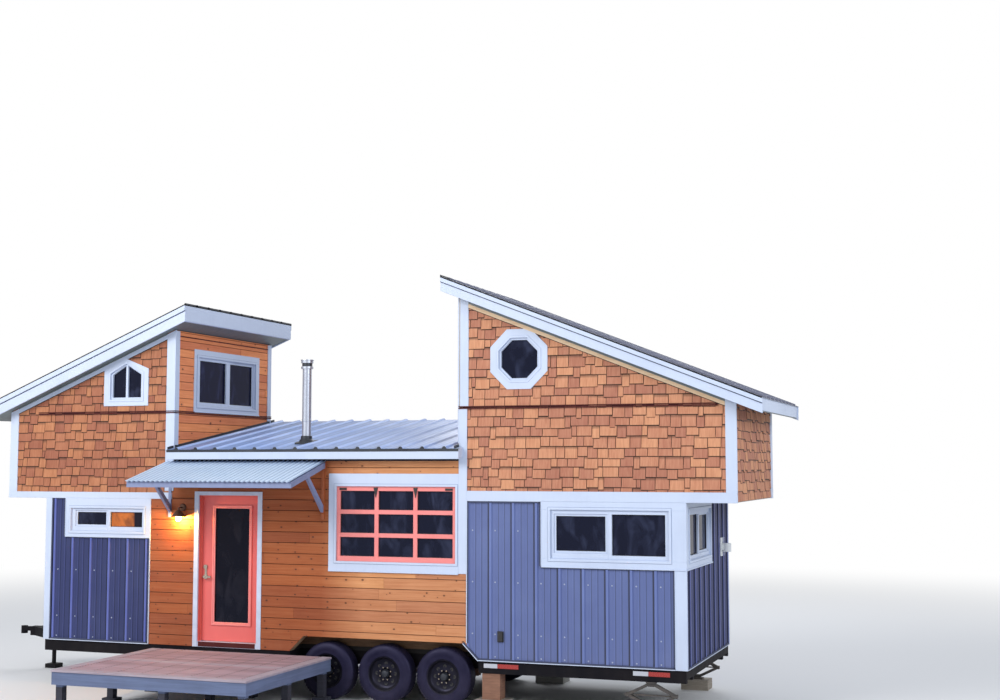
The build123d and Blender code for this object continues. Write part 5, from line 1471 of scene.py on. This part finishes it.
# Materials of the CAD nodes that stay in view
STAYS = {
    FRAME_STEEL: "trailer_frame drawbar axle_1 axle_2 axle_3", SPRING_STEEL: "spring_set_front spring_set_back",
    JACK: "scissor_jack_front scissor_jack_back", PIER: "pier_front pier_back", FLOOR: "floor_pan floor_boxes",
    WHITE: "roof_middle", ROOF_DARK: "roofing_left roofing_right", ROOF_METAL: "roofing_middle",
    FRAME_PAINT: "door_frame", CORAL: "door_leaf", GLASS_DEEP: "door_glass", NICKEL: "door_handle",
    AWNING_WOOD: "awning_frame", VENT: "wall_vent", TIMBER: "deck_frame", SOFFIT: "loft_floor_left loft_floor_right",
}
finish_of = {label: finish for finish, labels in STAYS.items() for label in labels.split()}
for label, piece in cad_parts.items():
    piece.data.materials.clear()
    piece.data.materials.append(finish_of.get(label, PINE))

for shape in patterns:
    bpy.data.objects.remove(shape)


# Stage, light and camera
def seen_directly(tree):
    path = Node(tree, "ShaderNodeLightPath")
    return reckon("MAXIMUM", reckon("MAXIMUM", path["Is Camera Ray"], path["Is Glossy Ray"]),
                  path["Is Transmission Ray"])


def stage_finish():
    finish, tree = blank_material("pale stage")
    shader = Node(tree, "ShaderNodeBsdfPrincipled", {"Base Color": (0.72, 0.72, 0.73, 1), "Roughness": 0.9})
    far = Node(tree, "ShaderNodeEmission", {"Color": (1, 1, 1, 1), "Strength": 1.0})
    place = Node(tree, "ShaderNodeTexCoord")["Object"]
    reach = node("ShaderNodeVectorMath", {0: place}, operation="LENGTH")["Value"]
    share = ramp(reach, 9.0, 26.0, smooth=True) * seen_directly(tree)
    mixed = node("ShaderNodeMixShader", {0: share, 1: shader[0], 2: far[0]})
    node("ShaderNodeOutputMaterial", {"Surface": mixed[0]})
    return finish


FAR = 60
floor_mesh = bpy.data.meshes.new("stage floor")
floor_mesh.from_pydata([(u, v, 0) for u, v in box(-FAR, FAR, -FAR, FAR)], [], [(0, 1, 2, 3)])
floor_mesh.materials.append(stage_finish())
put_in_scene("stage_floor", floor_mesh)

world = bpy.data.worlds.new("soft studio")
scene.world = world
world.use_nodes = True
sky = world.node_tree
sky.nodes.clear()
soft = Node(sky, "ShaderNodeBackground", {"Color": (0.86, 0.92, 1.0, 1), "Strength": 0.62})
white = Node(sky, "ShaderNodeBackground", {"Color": (1, 1, 1, 1), "Strength": 1.0})
both = node("ShaderNodeMixShader", {0: seen_directly(sky), 1: soft[0], 2: white[0]})
node("ShaderNodeOutputWorld", {"Surface": both[0]})


def softbox(name, spot, aim, width, height, power, colour):
    light = bpy.data.lights.new(name, "AREA")
    light.shape = "RECTANGLE"
    light.size, light.size_y = width, height
    light.energy, light.color = power, colour
    lamp = put_in_scene(name, light)
    lamp.location = spot
    lamp.rotation_euler = (Vector(aim) - Vector(spot)).to_track_quat("-Z", "Y").to_euler()


softbox("soft key", (-7.0, -13.0, 11.0), (0, 0, 2.4), 9.0, 7.0, 2100.0, (1.0, 0.98, 0.95))
softbox("soft side", (15.0, -8.0, 8.0), (1.0, 0, 2.2), 8.0, 6.0, 1000.0, (0.93, 0.96, 1.0))
softbox("soft back", (0.0, 14.0, 11.0), (0, 0, 2.4), 10.0, 6.0, 800.0, (0.95, 0.97, 1.0))

lens = bpy.data.cameras.new("view of the front")
lens.sensor_width, lens.lens, lens.clip_end = 36.0, 50.66, 300.0
camera = put_in_scene("view of the front", lens)
camera.location = (8.306, -16.6935, 3.002)
camera.rotation_euler = (math.pi / 2 + 0.0807, 0.0, 0.3458)
scene.camera = camera
scene.view_settings.view_transform = "Standard"
